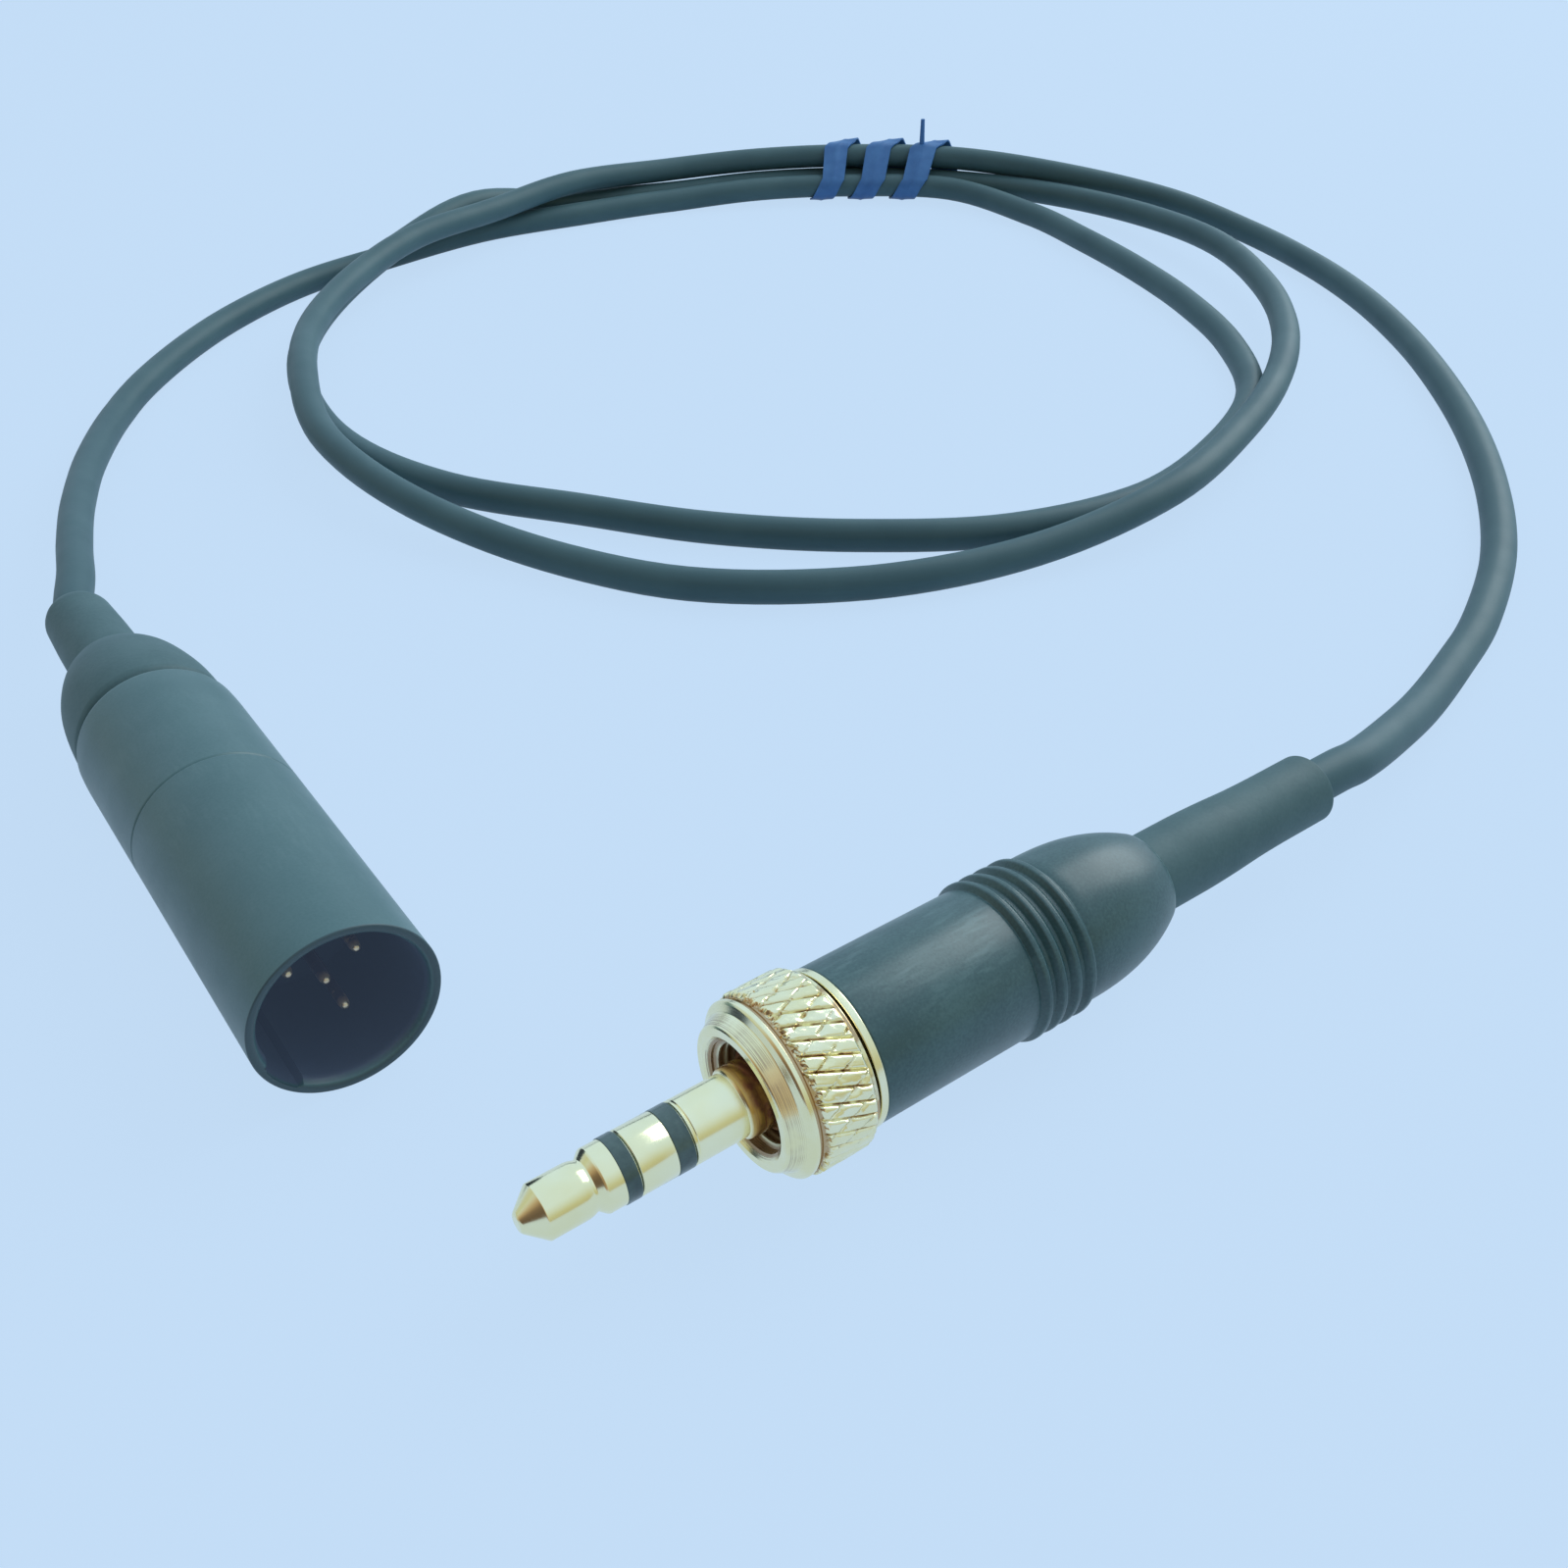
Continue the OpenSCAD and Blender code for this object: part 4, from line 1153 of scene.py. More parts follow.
    def sleeve_and_stem(self) -> None:
        """Sleeve contact, the stem that carries the lock ring, and its journal in the collar."""
        r, bore_r, boss_r, front = self.shaft_r, self.rear_tube_r, self.boss_bore_r, self.sleeve
        outline = [
            (bore_r, front), (r - 0.08, front), (r - 0.08, front + 0.03), (r, front + 0.08),
            (r, front + 0.15), (r - 0.06, front + 0.2), (r - 0.06, front + 0.23), (r, front + 0.29),
            (r, self.stem - 0.02, 0.02), (r + 0.08, self.stem + 0.02, 0.03),
            (1.91, self.stem + 0.1, 0.03), (1.95, self.stem + 0.3), (1.95, self.stem_rear - 0.08),
            (2.05, self.stem_rear, 0.05), (2.27, self.stem_rear + 0.04, 0.04),
            (2.3, self.stem_rear + 0.14), (2.3, 13.45), (2.22, 13.5), (2.22, 13.7), (2.3, 13.75),
            (2.3, 15.05), (2.1, 15.05), (2.1, self.journal), (boss_r, self.journal),
            (boss_r, self.boss_end), (bore_r, self.boss_end),
        ]
        self.turn_piece("jack_sleeve_and_stem", outline, SLEEVE_GOLD, "jack_sleeve")

    def polished_collar(self) -> None:
        """Polished collar between the lock ring and the shell, with its boss inside the shell."""
        outline = [
            (self.boss_bore_r, self.collar), (self.collar_r, self.collar, 0.1),
            (self.collar_r, self.shell_front, 0.06), (self.boss_r, self.shell_front),
            (self.boss_r, self.boss_end), (self.boss_bore_r, self.boss_end),
        ]
        self.turn_piece("jack_polished_collar", outline, HARDWARE_GOLD, "jack_collar")

    def shell(self) -> None:
        """Shell with grip ribs and a rounded tail."""
        r, low, high = self.shell_r, self.shell_r - 0.07, self.shell_r + self.rib_height
        ribs: list[Corner] = []
        for i in range(self.rib_count):
            t = self.ribs + i * self.rib_pitch
            ribs += [(low, t + 0.1, 0.04), (high, t + 0.36, 0.09)]
            ribs += [(high, t + 0.66, 0.09), (low, t + 0.95, 0.04)]
        tail = [
            (r + (self.rim_r - r) * s ** 2.4, self.tail + s * (self.rim - self.tail))
            for s in (i / 24 for i in range(25))
        ]
        outline = [
            (self.bore_r, self.shell_front), (r - 0.1, self.shell_front, 0.02),
            (r, self.shell_front + 0.08, 0.05), (r, self.ribs - 0.1), *ribs, (r, self.tail - 0.5),
            *tail, (self.rim_r - 0.05, self.rim + 0.03), (2.5, self.rim), (2.5, 36.1), (self.bore_r, 31.4),
        ]
        self.turn_piece("jack_grip_shell", outline, JACK_PAINT, "jack_shell")

    def bend_relief(self) -> None:
        """Bend relief with a square cut end."""
        r, bore, start, end = self.boot_r, self.cable_bore_r, self.boot_start, self.boot_end
        self.turn_piece(
            "jack_boot",
            [
                (bore, start), (r + 0.3, start), (r + 0.3, start + 1.2), (r, start + 1.2), (r, 43.9, 1.0),
                (2.38, 46.0, 0.8), (2.26, 48.2, 0.8), (2.22, 50.2, 0.8), (2.22, end - 0.1, 0.08),
                (2.1, end, 0.06), (bore, end),
            ],
            SOFT_BLACK,
            "jack_bend_relief",
        )

    def build(self) -> None:
        """Build the plug's visible pieces."""
        self.tip_contact()
        self.front_band()
        self.ring_contact()
        self.rear_band()
        self.sleeve_and_stem()
        self.polished_collar()
        self.shell()
        self.bend_relief()


def depth_at(profile: Sequence[float], index: int) -> float:
    """A profile's value at an index, or 0 past its end."""
    return profile[index] if index < len(profile) else 0.0


@dataclass
class LockRing:
    """The knurled lock ring that turns on the jack's stem, in millimetres."""

    mouth: float = 11.45
    web: float = 15.6
    end: float = 16.65
    journal_r: float = 2.45
    thread_r: float = 3.12
    thread_crest_r: float = 2.87
    pitch: float = 0.5
    thread_turns: int = 6
    top_r: float = 5.1
    root_r: float = 4.85
    land_r: float = 4.77
    knurl: Knurl = KNURL
    groove_profile: tuple[float, ...] = (0.85, 0.42, 0.12, 0.03)
    cut_profile: tuple[float, ...] = (0.14, 0.46, 0.36, 0.26, 0.17, 0.09, 0.03)
    end_profile: tuple[float, ...] = (1.0, 0.55, 0.2)
    axis: PlugAxis = JACK_AXIS

    def body(self) -> bmesh.types.BMesh:
        """The ring under its knurl: a flat mouth, a brushed cone, a step and a plain band."""
        land = self.land_r
        return turned(
            [
                (self.journal_r, self.end), (self.journal_r, self.web), (self.thread_r, self.web),
                (self.thread_r, self.mouth + 0.3), (3.24, self.mouth + 0.22, 0.04),
                (3.5, self.mouth, 0.03), (3.95, self.mouth, 0.05), (4.05, self.mouth + 0.08, 0.03),
                (4.44, self.mouth + 0.84, 0.04), (4.52, self.mouth + 0.88, 0.03),
                (4.82, self.mouth + 1.02, 0.06), (4.93, self.mouth + 1.14, 0.04),
                (4.93, self.mouth + 1.37, 0.03), (land, self.mouth + 1.4), (land, self.end - 0.05, 0.04),
                (land - 0.1, self.end),
            ],
            segments=180,
        )

    def thread(self) -> bmesh.types.BMesh:
        """The internal thread, one ridge wound along the bore."""
        root, crest = self.thread_r + 0.03, self.thread_crest_r
        start = self.mouth + 0.5
        outline = ((root, -0.2), (crest, -0.05), (crest, 0.05), (root, 0.2))
        bm = bmesh.new()
        verts = [bm.verts.new((r, 0.0, start + h)) for r, h in outline]
        face = bm.faces.new(verts)
        steps = 72
        bmesh.ops.spin(
            bm, geom=[face], cent=(0, 0, 0), axis=(0, 0, 1), dvec=(0, 0, self.pitch / steps),
            angle=math.tau * self.thread_turns, steps=steps * self.thread_turns,
        )
        bmesh.ops.recalc_face_normals(bm, faces=bm.faces[:])
        return bm

    def pressed(self, column: int, row: int) -> float:
        """How far the knurl lies below its tops, before it is twisted.

        Args:
            column: Place round the ring, in columns.
            row: Place along the ring, in rows.

        Returns:
            The depth, in millimetres.
        """
        pitch = self.knurl.columns_per_groove
        groove = depth_at(self.groove_profile, min(column % pitch, -column % pitch))
        struck = max(0.0, 0.75 + 1.6 * noise.noise(Vector((column * 0.13, row * 0.16, 4.2))))
        cut = depth_at(self.cut_profile, (column + row + 1) % self.knurl.columns_per_cut) * struck
        ends = max(depth_at(self.end_profile, end) for end in (row, self.knurl.rows - row))
        bitten = 1.8 + 1.5 * noise.noise(Vector((column * 0.33, 0.5, 8.1))) - row / 2
        ragged = 0.10 * noise.noise(Vector((column * 0.4, row * 0.22, 1.7)))
        depth = min(1.0, max(0.0, max(groove, cut, ends, bitten) + ragged))
        return (self.top_r - self.root_r) * depth

    def band(self) -> bmesh.types.BMesh:
        """The knurled band: a fine tube pressed in along each groove and cross cut, then twisted."""
        start, length, columns = self.knurl.start, self.knurl.length, self.knurl.columns
        bm = bmesh.new()
        bmesh.ops.create_cone(
            bm, cap_ends=False, segments=columns, radius1=self.top_r, radius2=self.top_r, depth=length
        )
        bmesh.ops.translate(bm, verts=bm.verts[:], vec=(0, 0, start + length / 2))
        upright = [e for e in bm.edges if abs(e.verts[0].co.z - e.verts[1].co.z) > length / 2]
        bmesh.ops.subdivide_edges(bm, edges=upright, cuts=self.knurl.rows - 1, use_grid_fill=True)
        for vert in bm.verts:
            angle = math.atan2(vert.co.y, vert.co.x)
            column = round(angle / math.tau * columns) % columns
            row = round((vert.co.z - start) / length * self.knurl.rows)
            radius = self.top_r - self.pressed(column, row)
            angle += math.radians(self.knurl.groove_twist * (vert.co.z - start))
            vert.co.x, vert.co.y = radius * math.cos(angle), radius * math.sin(angle)
        rims = [e for e in bm.edges if e.is_boundary]
        made = bmesh.ops.extrude_edge_only(bm, edges=rims)["geom"]
        inner = [g for g in made if isinstance(g, bmesh.types.BMVert)]
        for vert in inner:
            scale = (self.land_r - 0.2) / math.hypot(vert.co.x, vert.co.y)
            vert.co.x *= scale
            vert.co.y *= scale
        loops = [g for g in made if isinstance(g, bmesh.types.BMEdge) and all(v in inner for v in g.verts)]
        bmesh.ops.bridge_loops(bm, edges=loops)
        bmesh.ops.recalc_face_normals(bm, faces=bm.faces[:])
        bmesh.ops.triangulate(bm, faces=bm.faces[:], quad_method="LONG_EDGE")
        return bm

    def build(self) -> None:
        """Build the ring as one piece."""
        bm = join(join(self.body(), self.thread()), self.band())
        place = self.axis.matrix()
        dress("knurled_lock_ring", bm, place, HARDWARE_GOLD, Body.LOCK_RING, ["lock_ring"], 40.0)


# ---- Cable and tie ----

# The middle of the cable, as in the source, in millimetres: the two leads' points, and for each step round
# the coil its distance from the coil's centre and its height.
LEAD_XLR = (
    (-25.4, 36.05, 5.45), (-25.4, 37.05, 5.45), (-24.75, 39.4, 5.4), (-23.5, 43.6, 5.1),
    (-22, 50, 4.4), (-19.4, 59.2, 3.4), (-15.4, 70, 2.3), (-9.6, 81.2, 1.4), (-2, 90.3, 1.4),
    (7.6, 98.4, 1.4), (18.4, 104.1, 1.4),
)
LEAD_JACK = (
    (116.2, 60.5, 2.8), (117.6, 49, 1.6), (115.3, 38, 1.4), (111, 27, 1.4), (105, 16.4, 1.4),
    (98, 6.7, 1.4), (90, -2.5, 1.4), (81, -10.9, 1.4), (72, -17.5, 1.4), (62.5, -22.5, 1.4),
    (55, -25.3, 1.6), (48, -27.7, 2.4), (41.5, -29.6, 3.7), (36.5, -30.8, 4.7), (33.9, -31, 5.1),
    (30.9, -31, 5.1),
)
TURN_R = (
    54.8, 51, 47.2, 46.1, 46, 47.1, 49.1, 46.4, 43.2, 42.3, 43.3, 45.8,
    48.8, 50.1, 51.6, 50.7, 48.4, 47.1, 46.9, 49.6, 51.6, 52.4, 53, 53,
    52, 51.6, 51, 49, 48.9, 50.2, 52.2, 52.6, 52.9, 52.7, 51.9, 51.2,
    51.1, 52.1, 54.5, 55.2, 56.3, 56.6, 55, 54.9, 54.2, 52.3, 51.5, 50.4,
    49.4, 48.2, 49.2, 50, 49.9, 50.4, 53, 55.3,
)
TURN_Z = (
    1.4, 1.4, 1.4, 1.4, 1.9, 2, 1.9, 1.4, 1.4, 1.4, 1.4, 1.4,
    1.4, 1.4, 1.4, 1.4, 1.4, 1.4, 1.4, 1.4, 1.4, 1.4, 1.4, 1.7,
    3.4, 4.7, 2, 1.5, 1.9, 2, 1.9, 2.2, 2.6, 3.1, 3, 3.2,
    3.5, 3.6, 3.3, 1.8, 1.4, 1.4, 1.5, 2.8, 3.7, 4.4, 4, 4.2,
    4.7, 4.5, 4.8, 4.2, 4.58, 4.9, 4.68, 4,
)


def through(a: Vector, b: Vector, c: Vector, d: Vector, s: float) -> Vector:
    """Point at s, from 0 to 1, on the smooth curve from b to c, with a and d beyond its ends."""
    return 0.5 * (
        2 * b + (c - a) * s + (2 * a - 5 * b + 4 * c - d) * s * s + (3 * b - a - 3 * c + d) * s ** 3
    )


@dataclass
class Cable:
    """The cable: a lead from the mini-XLR plug, two and a third turns, and a lead to the jack.

    Attributes:
        radius: Its radius, in millimetres.
        length: Its length from plug to plug, in metres; not used.
        centre: Centre of the coil, in millimetres.
        start: Angle of the first point on the turns, in degrees.
        step: Angle from one point on the turns to the next, in degrees.
        tucked: How far each end runs into its plug, in millimetres.
    """

    radius: float = 1.4
    length: float = 0.98
    centre: tuple[float, float] = (57.0, 59.0)
    start: float = 120.0
    step: float = 15.0
    tucked: float = 0.8

    def turn_point(self, index: int) -> Vector:
        """The route's point number index on the turns, in millimetres."""
        angle = math.radians(self.start - index * self.step)
        x = self.centre[0] + TURN_R[index] * math.cos(angle)
        y = self.centre[1] + TURN_R[index] * math.sin(angle)
        return Vector((x, y, TURN_Z[index]))

    def route(self) -> list[Vector]:
        """The whole route, as in the source, in millimetres."""
        turns = [self.turn_point(i) for i in range(len(TURN_R))]
        return [Vector(p) for p in LEAD_XLR] + turns + [Vector(p) for p in LEAD_JACK]

    def strand(self, lap: int, angle: float) -> Vector:
        """Middle of the cable on a lap of the coil, at an angle in degrees."""
        u = (self.start - angle) / self.step + lap * 360 / self.step
        i = min(max(int(u), 1), len(TURN_R) - 3)
        a, b, c, d = (self.turn_point(i + k) for k in (-1, 0, 1, 2))
        return through(a, b, c, d, u - i)

    def centreline(self, spans: int = 8) -> list[Vector]:
        """Points close together along the cable, its ends tucked into the plugs.

        Args:
            spans: Number of points to each stretch of the route.

        Returns:
            The points, in millimetres.
        """
        points = self.route()
        points[0] = points[0] - Vector((0, self.tucked, 0))
        points[-1] = points[-1] - Vector((self.tucked, 0, 0))
        padded = [points[0] * 2 - points[1], *points, points[-1] * 2 - points[-2]]
        line = [
            through(*padded[i : i + 4], k / spans) for i in range(len(points) - 1) for k in range(spans)
        ]
        line.append(points[-1])
        for point in line:
            point.z = max(point.z, self.radius)
        return line

    def build(self) -> None:
        line = self.centreline()
        curve = bpy.data.curves.new("cable_run", "CURVE")
        curve.dimensions = "3D"
        curve.bevel_depth = self.radius * MM
        curve.bevel_resolution = 7
        curve.use_fill_caps = True
        spline = curve.splines.new("POLY")
        spline.points.add(len(line) - 1)
        for point, place in zip(spline.points, line):
            point.co = (*(place * MM), 1.0)
        curve.materials.append(JACKET.material())
        cable = bpy.data.objects.new("cable_run", curve)
        bpy.context.scene.collection.objects.link(cable)
        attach(cable, Body.CABLE.value)
        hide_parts("cable_lead_xlr", "cable_coil", "cable_lead_jack")
        2 * self.radius * MM
        measured = sum((b - a).length for a, b in zip(line, line[1:]))
        log.info("cable_run: %.0f mm of cable", measured)


@dataclass
class TwistTie:
    """The tie: a ribbon wound round three strands of the coil, in millimetres and degrees.

    Attributes:
        cable: The cable that it binds.
        width: The ribbon's width.
        thickness: Its thickness in the middle, over its wire.
        slack: Its distance from the strands.
        first: Angle round the coil where it starts.
        wraps: Number of times that it goes round.
        pitch: Distance from one turn to the next.
        bundle_r: Radius of the coil where it is tied.
        start_side: Side of the bundle where it starts.
        step: Angle of one span of its mesh.
        fold_side: Side of the bundle where its left edge lifts.
        fold_width: How far round that lift reaches.
        fold_rise: How high it lifts.
        tail_at: Angle, side and lift of the bare end's foot.
        tail_length: Length of the bare end.
        tail_lean: How far the bare end's tip leans.
        tail_r: Radius of the bare end at its foot.
    """

    cable: Cable
    width: float = 3.2
    thickness: float = 0.34
    slack: float = 0.09
    first: float = 50.2
    wraps: float = 2.75
    pitch: float = 5.65
    bundle_r: float = 50.5
    start_side: float = 250.0
    step: float = 6.0
    fold_side: float = 62.0
    fold_width: float = 16.0
    fold_rise: float = 0.55
    tail_at: tuple[float, float, float] = (35.6, 98.0, -0.1)
    tail_length: float = 3.3
    tail_lean: float = 0.1
    tail_r: float = 0.34

    def outwards(self, angle: float, side: float) -> Vector:
        """Direction out of the bundle at an angle round the coil and a side round the bundle."""
        a, b = math.radians(angle), math.radians(side)
        return Vector((math.cos(a) * math.cos(b), math.sin(a) * math.cos(b), math.sin(b)))

    def edge(self, angle: float, side: float, lift: float) -> Vector:
        """Point of the ribbon's inner face.

        Args:
            angle: Place along the bundle, in degrees round the coil.
            side: Place round the bundle, in degrees from outwards.
            lift: Distance that the ribbon stands off.

        Returns:
            The point, in millimetres.
        """
        out = self.outwards(angle, side)
        middle = max((self.cable.strand(k, angle) for k in range(3)), key=lambda p: p.dot(out))
        return middle + out * (self.cable.radius + self.slack + lift)

    def frame_at(self, wound: float) -> Matrix:
        """The ribbon's section frame: x across its half width, y through it, in millimetres."""
        advance = math.degrees(self.pitch / self.bundle_r)
        half = math.degrees(self.width / 2 / self.bundle_r)
        angle, side = self.first - wound / 360 * advance, self.start_side - wound
        past = (side - self.fold_side) % 360
        fold = sum(math.exp(-((turn / self.fold_width) ** 2)) for turn in (past, past - 360))
        left = self.edge(angle - half, side, self.fold_rise * fold)
        right = self.edge(angle + half, side, 0.0)
        across = (right - left) / 2
        out = self.outwards(angle, side)
        along = across.cross(out).normalized()
        frame = Matrix.Identity(4)
        for row in range(3):
            frame[row][0], frame[row][1], frame[row][2] = across[row], out[row], along[row]
            frame[row][3] = (left[row] + right[row]) / 2
        return frame

    def ribbon(self) -> bmesh.types.BMesh:
        """The ribbon, a little thicker along its middle where its wire runs."""
        t = self.thickness
        outline = [
            (-1.0, 0.0), (1.0, 0.0), (1.0, 0.2), (0.55, 0.22), (0.2, 0.26), (0.0, t), (-0.2, 0.26),
            (-0.55, 0.22), (-1.0, 0.2),
        ]
        count = round(self.wraps * 360 / self.step)
        return swept(outline, [self.frame_at(i * self.step) for i in range(count + 1)])

    def tail(self) -> bmesh.types.BMesh:
        """The ribbon's bare end, standing up from the last turn."""
        foot = self.edge(*self.tail_at)
        frames = []
        for s in (i / 8 for i in range(9)):
            lean = self.tail_lean * s * s
            r = self.tail_r - 0.08 * s
            spot = foot + Vector((lean, lean, self.tail_length * s))
            frames.append(Matrix.Translation(spot) @ Matrix.Diagonal((r, r, 1.0, 1.0)))
        outline = [(math.cos(math.tau * k / 10), math.sin(math.tau * k / 10)) for k in range(10)]
        return swept(outline, frames)

    def build(self) -> None:
        """Build the tie as one piece."""
        bm = join(self.ribbon(), self.tail())
        dress("wound_tie", bm, Matrix.Scale(MM, 4), TIE_RIBBON, Body.CABLE, ["twist_tie"], 50.0)


# ---- What stays from the frame ----

KEPT_NODES: dict[Finish, tuple[str, ...]] = {
    XLR_PAINT: ("xlr_shell", "xlr_rear_shell"),
    JACK_PAINT: ("jack_shell",),
    SOFT_BLACK: ("xlr_rear_cap", "xlr_cable_sleeve", "jack_bend_relief"),
    JACKET: ("xlr_cable_end", "jack_cable_end", "cable_lead_xlr", "cable_coil", "cable_lead_jack"),
    SOCKET_FACE: ("xlr_insert",),
    INSERT: ("xlr_cable_clamp", "jack_liner", "jack_lug_washer"),
    BANDS: ("jack_front_insulator", "jack_rear_insulator"),
    PIN_GOLD_SHADED: ("xlr_pin_1", "xlr_pin_2", "xlr_pin_3", "xlr_pin_4"),
    CONTACT_GOLD: ("jack_tip", "jack_ring_contact"),
    SLEEVE_GOLD: ("jack_sleeve",),
    HARDWARE_GOLD: ("lock_ring", "jack_collar"),
    NICKEL: ("lock_ring_clip", "jack_ring_lug", "jack_tip_lug", "jack_cable_clamp"),
    WIRE_RED: ("xlr_wire_1", "jack_wire_1"),
    WIRE_WHITE: ("xlr_wire_2", "jack_wire_2"),
    WIRE_BLUE: ("xlr_wire_3", "jack_wire_3"),
    TIE_RIBBON: ("twist_tie",),
}


def dress_nodes() -> None:
    """Give every CAD node the material of its finish."""
    for finish, names in KEPT_NODES.items():
        for name in names:
            mesh = frame["nodes"][name].data
            mesh.materials.clear()
            mesh.materials.append(finish.material())
    bare = set(frame["nodes"]) - {name for names in KEPT_NODES.values() for name in names}
    log.info("CAD nodes dressed: %d, bare: %s", len(frame["nodes"]) - len(bare), sorted(bare) or "none")


# ---- Studio ----


@dataclass
class Studio:
    """Camera, floor, lamp and world.

    Attributes:
        eye: The camera's place, in millimetres.
        heading: Where it looks, in degrees from the x axis.
        pitch: How far down it looks, in degrees.
        roll: How far it leans, in degrees.
        focal: Its focal length on a 36 mm sensor, in millimetres.
        backdrop: Colour of the floor and the background.
        shadow_share: Share of the floor's look that comes from the light on it.
        dark_side: Direction in which the sky is dark.
        near_side: Direction in which it is warm low down.
        sky_level: The sky's strength in mirrors.
        sky_share: Share of that strength that lights matt surfaces.
        aim: What the lamp looks at, in metres.
    """

    eye: tuple[float, float, float] = (-39.8, -75.4, 65.32)
    heading: float = 55.09
    pitch: float = 37.555
    roll: float = 1.103
    focal: float = 35.863
    backdrop: Rgb = (0.568, 0.740, 0.942)
    shadow_share: float = 0.07
    dark_side: tuple[float, float, float] = (-0.93, -0.33, 0.16)
    near_side: tuple[float, float, float] = (-0.755, -0.655, 0.0)
    sky_level: float = 1.08
    sky_share: float = 0.62
    aim: tuple[float, float, float] = (0.02, 0.0, 0.0)

    def camera(self) -> None:
        """Set up the camera."""
        a, p, w = (math.radians(x) for x in (self.heading, self.pitch, self.roll))
        forward = Vector((math.cos(p) * math.cos(a), math.cos(p) * math.sin(a), -math.sin(p)))
        level = Vector((math.sin(a), -math.cos(a), 0.0))
        down = forward.cross(level)
        right = level * math.cos(w) + down * math.sin(w)
        down = down * math.cos(w) - level * math.sin(w)
        data = bpy.data.cameras.new("view")
        data.sensor_width = 36.0
        data.lens = self.focal
        data.clip_start = 0.001
        data.clip_end = 50.0
        camera = bpy.data.objects.new("view", data)
        axes = Matrix((right, -down, -forward)).transposed().to_4x4()
        camera.matrix_world = Matrix.Translation(Vector(self.eye) * MM) @ axes
        bpy.context.scene.collection.objects.link(camera)
        bpy.context.scene.camera = camera

    def seen(self, graph: NodeGraph) -> Link:
        """1 for rays from the camera, mirrors and glass, which see the backdrop's own colour."""
        path = graph.add("ShaderNodeLightPath")
        glossy = graph.out(path, "Is Camera Ray").larger(graph.out(path, "Is Glossy Ray"))
        return glossy.larger(graph.out(path, "Is Transmission Ray"))

    def floor(self) -> None:
        """Lay a plain pale floor that keeps a soft shadow."""
        bm = bmesh.new()
        bmesh.ops.create_grid(bm, x_segments=1, y_segments=1, size=3.0)
        mesh = bpy.data.meshes.new("floor")
        bm.to_mesh(mesh)
        bm.free()
        material = bpy.data.materials.new("pale_floor")
        material.use_nodes = True
        graph = NodeGraph(material.node_tree)
        colour = (*self.backdrop, 1.0)
        matt = graph.out(graph.add("ShaderNodeBsdfDiffuse", None, {"Color": colour}))
        bright = graph.out(graph.add("ShaderNodeEmission", None, {"Color": colour, "Strength": 1.0}))
        factor = self.seen(graph) * (1 - self.shadow_share)
        mixed = graph.out(graph.add("ShaderNodeMixShader", None, {0: factor, 1: matt, 2: bright}))
        graph.add("ShaderNodeOutputMaterial", None, {"Surface": mixed})
        mesh.materials.append(material)
        plane = bpy.data.objects.new("floor", mesh)
        bpy.context.scene.collection.objects.link(plane)

    def lamp(self, name: str, place: Sequence[float], size: float, level: float, tint: Rgb) -> None:
        """Hang a square soft box that looks at the object.

        Args:
            name: The lamp's name.
            place: Where it hangs, in metres.
            size: Length of its side, in metres.
            level: Its brightness, where 1 shows white.
            tint: Its colour.
        """
        data = bpy.data.lights.new(name, "AREA")
        data.shape = "SQUARE"
        data.size = size
        data.energy = level * math.pi * size * size
        data.color = tint
        lamp = bpy.data.objects.new(name, data)
        facing = (Vector(self.aim) - Vector(place)).to_track_quat("-Z", "Y")
        lamp.matrix_world = Matrix.Translation(place) @ facing.to_matrix().to_4x4()
        bpy.context.scene.collection.objects.link(lamp)

    def world(self) -> None:
        """Surround the object with a pale sky, warmer low down near the viewer and dark on one side."""
        world = bpy.data.worlds.new("studio")
        bpy.context.scene.world = world
        world.use_nodes = True
        graph = NodeGraph(world.node_tree)
        place = graph.out(graph.add("ShaderNodeTexCoord"), "Generated")

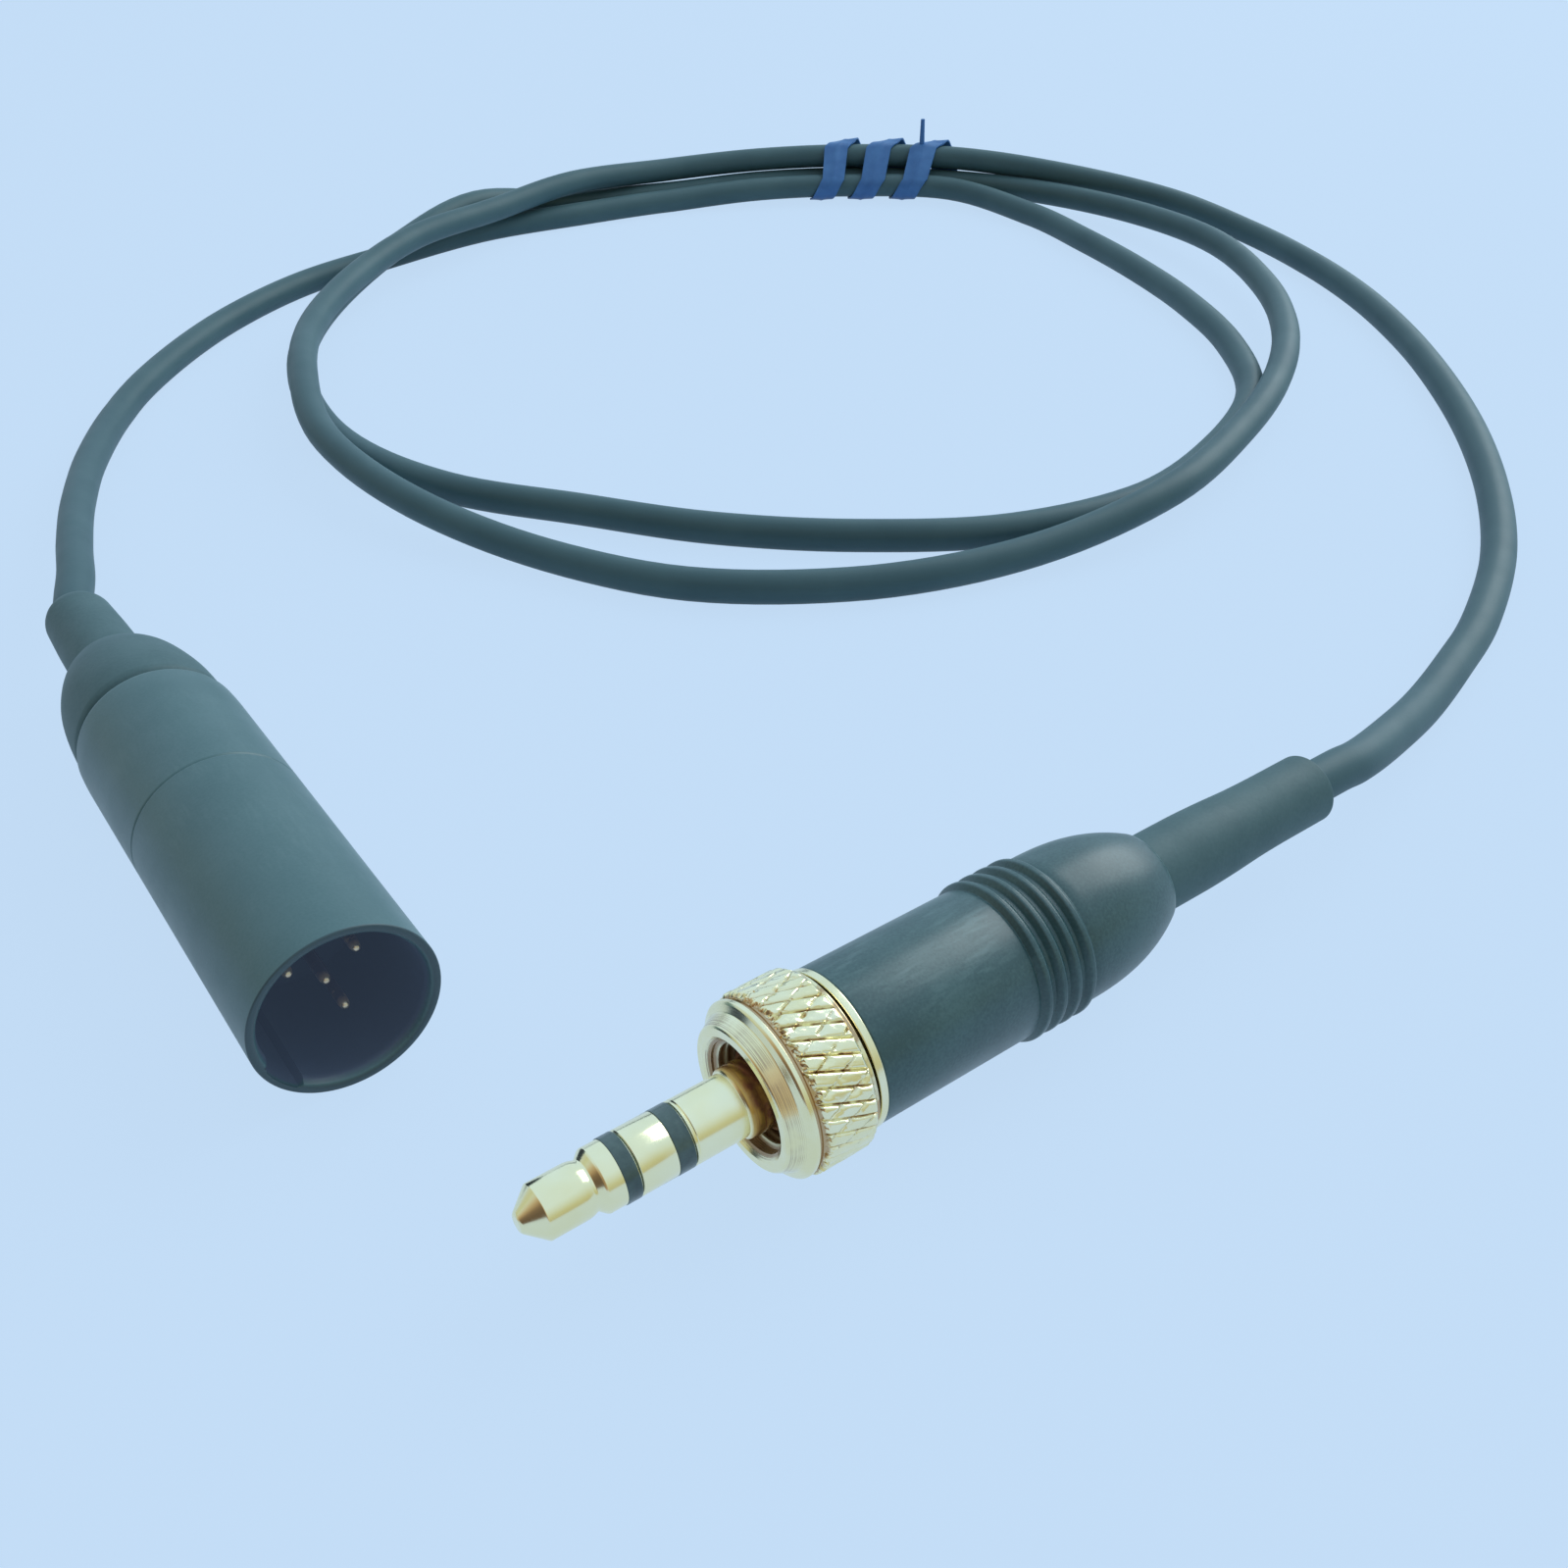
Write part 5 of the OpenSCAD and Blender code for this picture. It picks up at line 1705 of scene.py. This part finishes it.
        def towards(direction: tuple[float, float, float]) -> Link:
            """How far a ray looks along a direction, from -1 to 1."""
            node = graph.add("ShaderNodeVectorMath", {"operation": "DOT_PRODUCT"}, {0: place, 1: direction})
            return graph.out(node, "Value")

        height = towards((0.0, 0.0, 1.0))
        near = (
            (0.0, (0.44, 0.45, 0.31)), (0.25, (0.50, 0.55, 0.40)), (0.5, (0.56, 0.68, 0.70)),
            (0.75, (0.60, 0.78, 0.95)),
        )
        room = graph.out(graph.add("ShaderNodeValToRGB", {"stops": near}, {0: height}))
        sky = graph.blend(towards(self.near_side).step(-0.5, 0.1), (0.60, 0.80, 1.0), room)
        shade = (
            (0.0, (0.56, 0.70, 0.74)), (0.5, (0.50, 0.46, 0.36)), (0.72, (0.38, 0.29, 0.19)),
            (0.88, (0.19, 0.14, 0.10)), (1.0, (0.12, 0.09, 0.07)),
        )
        facing = towards(self.dark_side)
        dark = graph.out(graph.add("ShaderNodeValToRGB", {"stops": shade}, {0: facing.step(0.5, 1.0)}))
        sky = graph.blend(facing.step(0.5, 0.75), sky, dark)
        path = graph.add("ShaderNodeLightPath")
        camera = graph.out(path, "Is Camera Ray")
        seen = [part / self.sky_level for part in self.backdrop]
        colour = graph.blend(camera, sky, seen)
        sharp = camera.larger(graph.out(path, "Is Glossy Ray"))
        strength = sharp * (self.sky_level * (1 - self.sky_share)) + self.sky_level * self.sky_share
        background = graph.add("ShaderNodeBackground", None, {"Color": colour, "Strength": strength})
        graph.add("ShaderNodeOutputWorld", None, {"Surface": graph.out(background)})

    def build(self) -> None:
        """Build the studio."""
        self.camera()
        self.floor()
        self.world()
        self.lamp("key_box", (0.50, 0.06, 0.36), 0.45, 3.1, (0.94, 1.0, 1.0))
        bpy.context.scene.view_settings.view_transform = "Standard"


def main() -> None:
    """Build the scene."""
    logging.basicConfig(level=logging.INFO, format="%(name)s: %(message)s")
    Studio().build()
    cable = Cable()
    cable.build()
    MiniXlrPlug().build()
    JackPlug().build()
    LockRing().build()
    TwistTie(cable).build()
    dress_nodes()


if __name__ == "__main__":
    main()
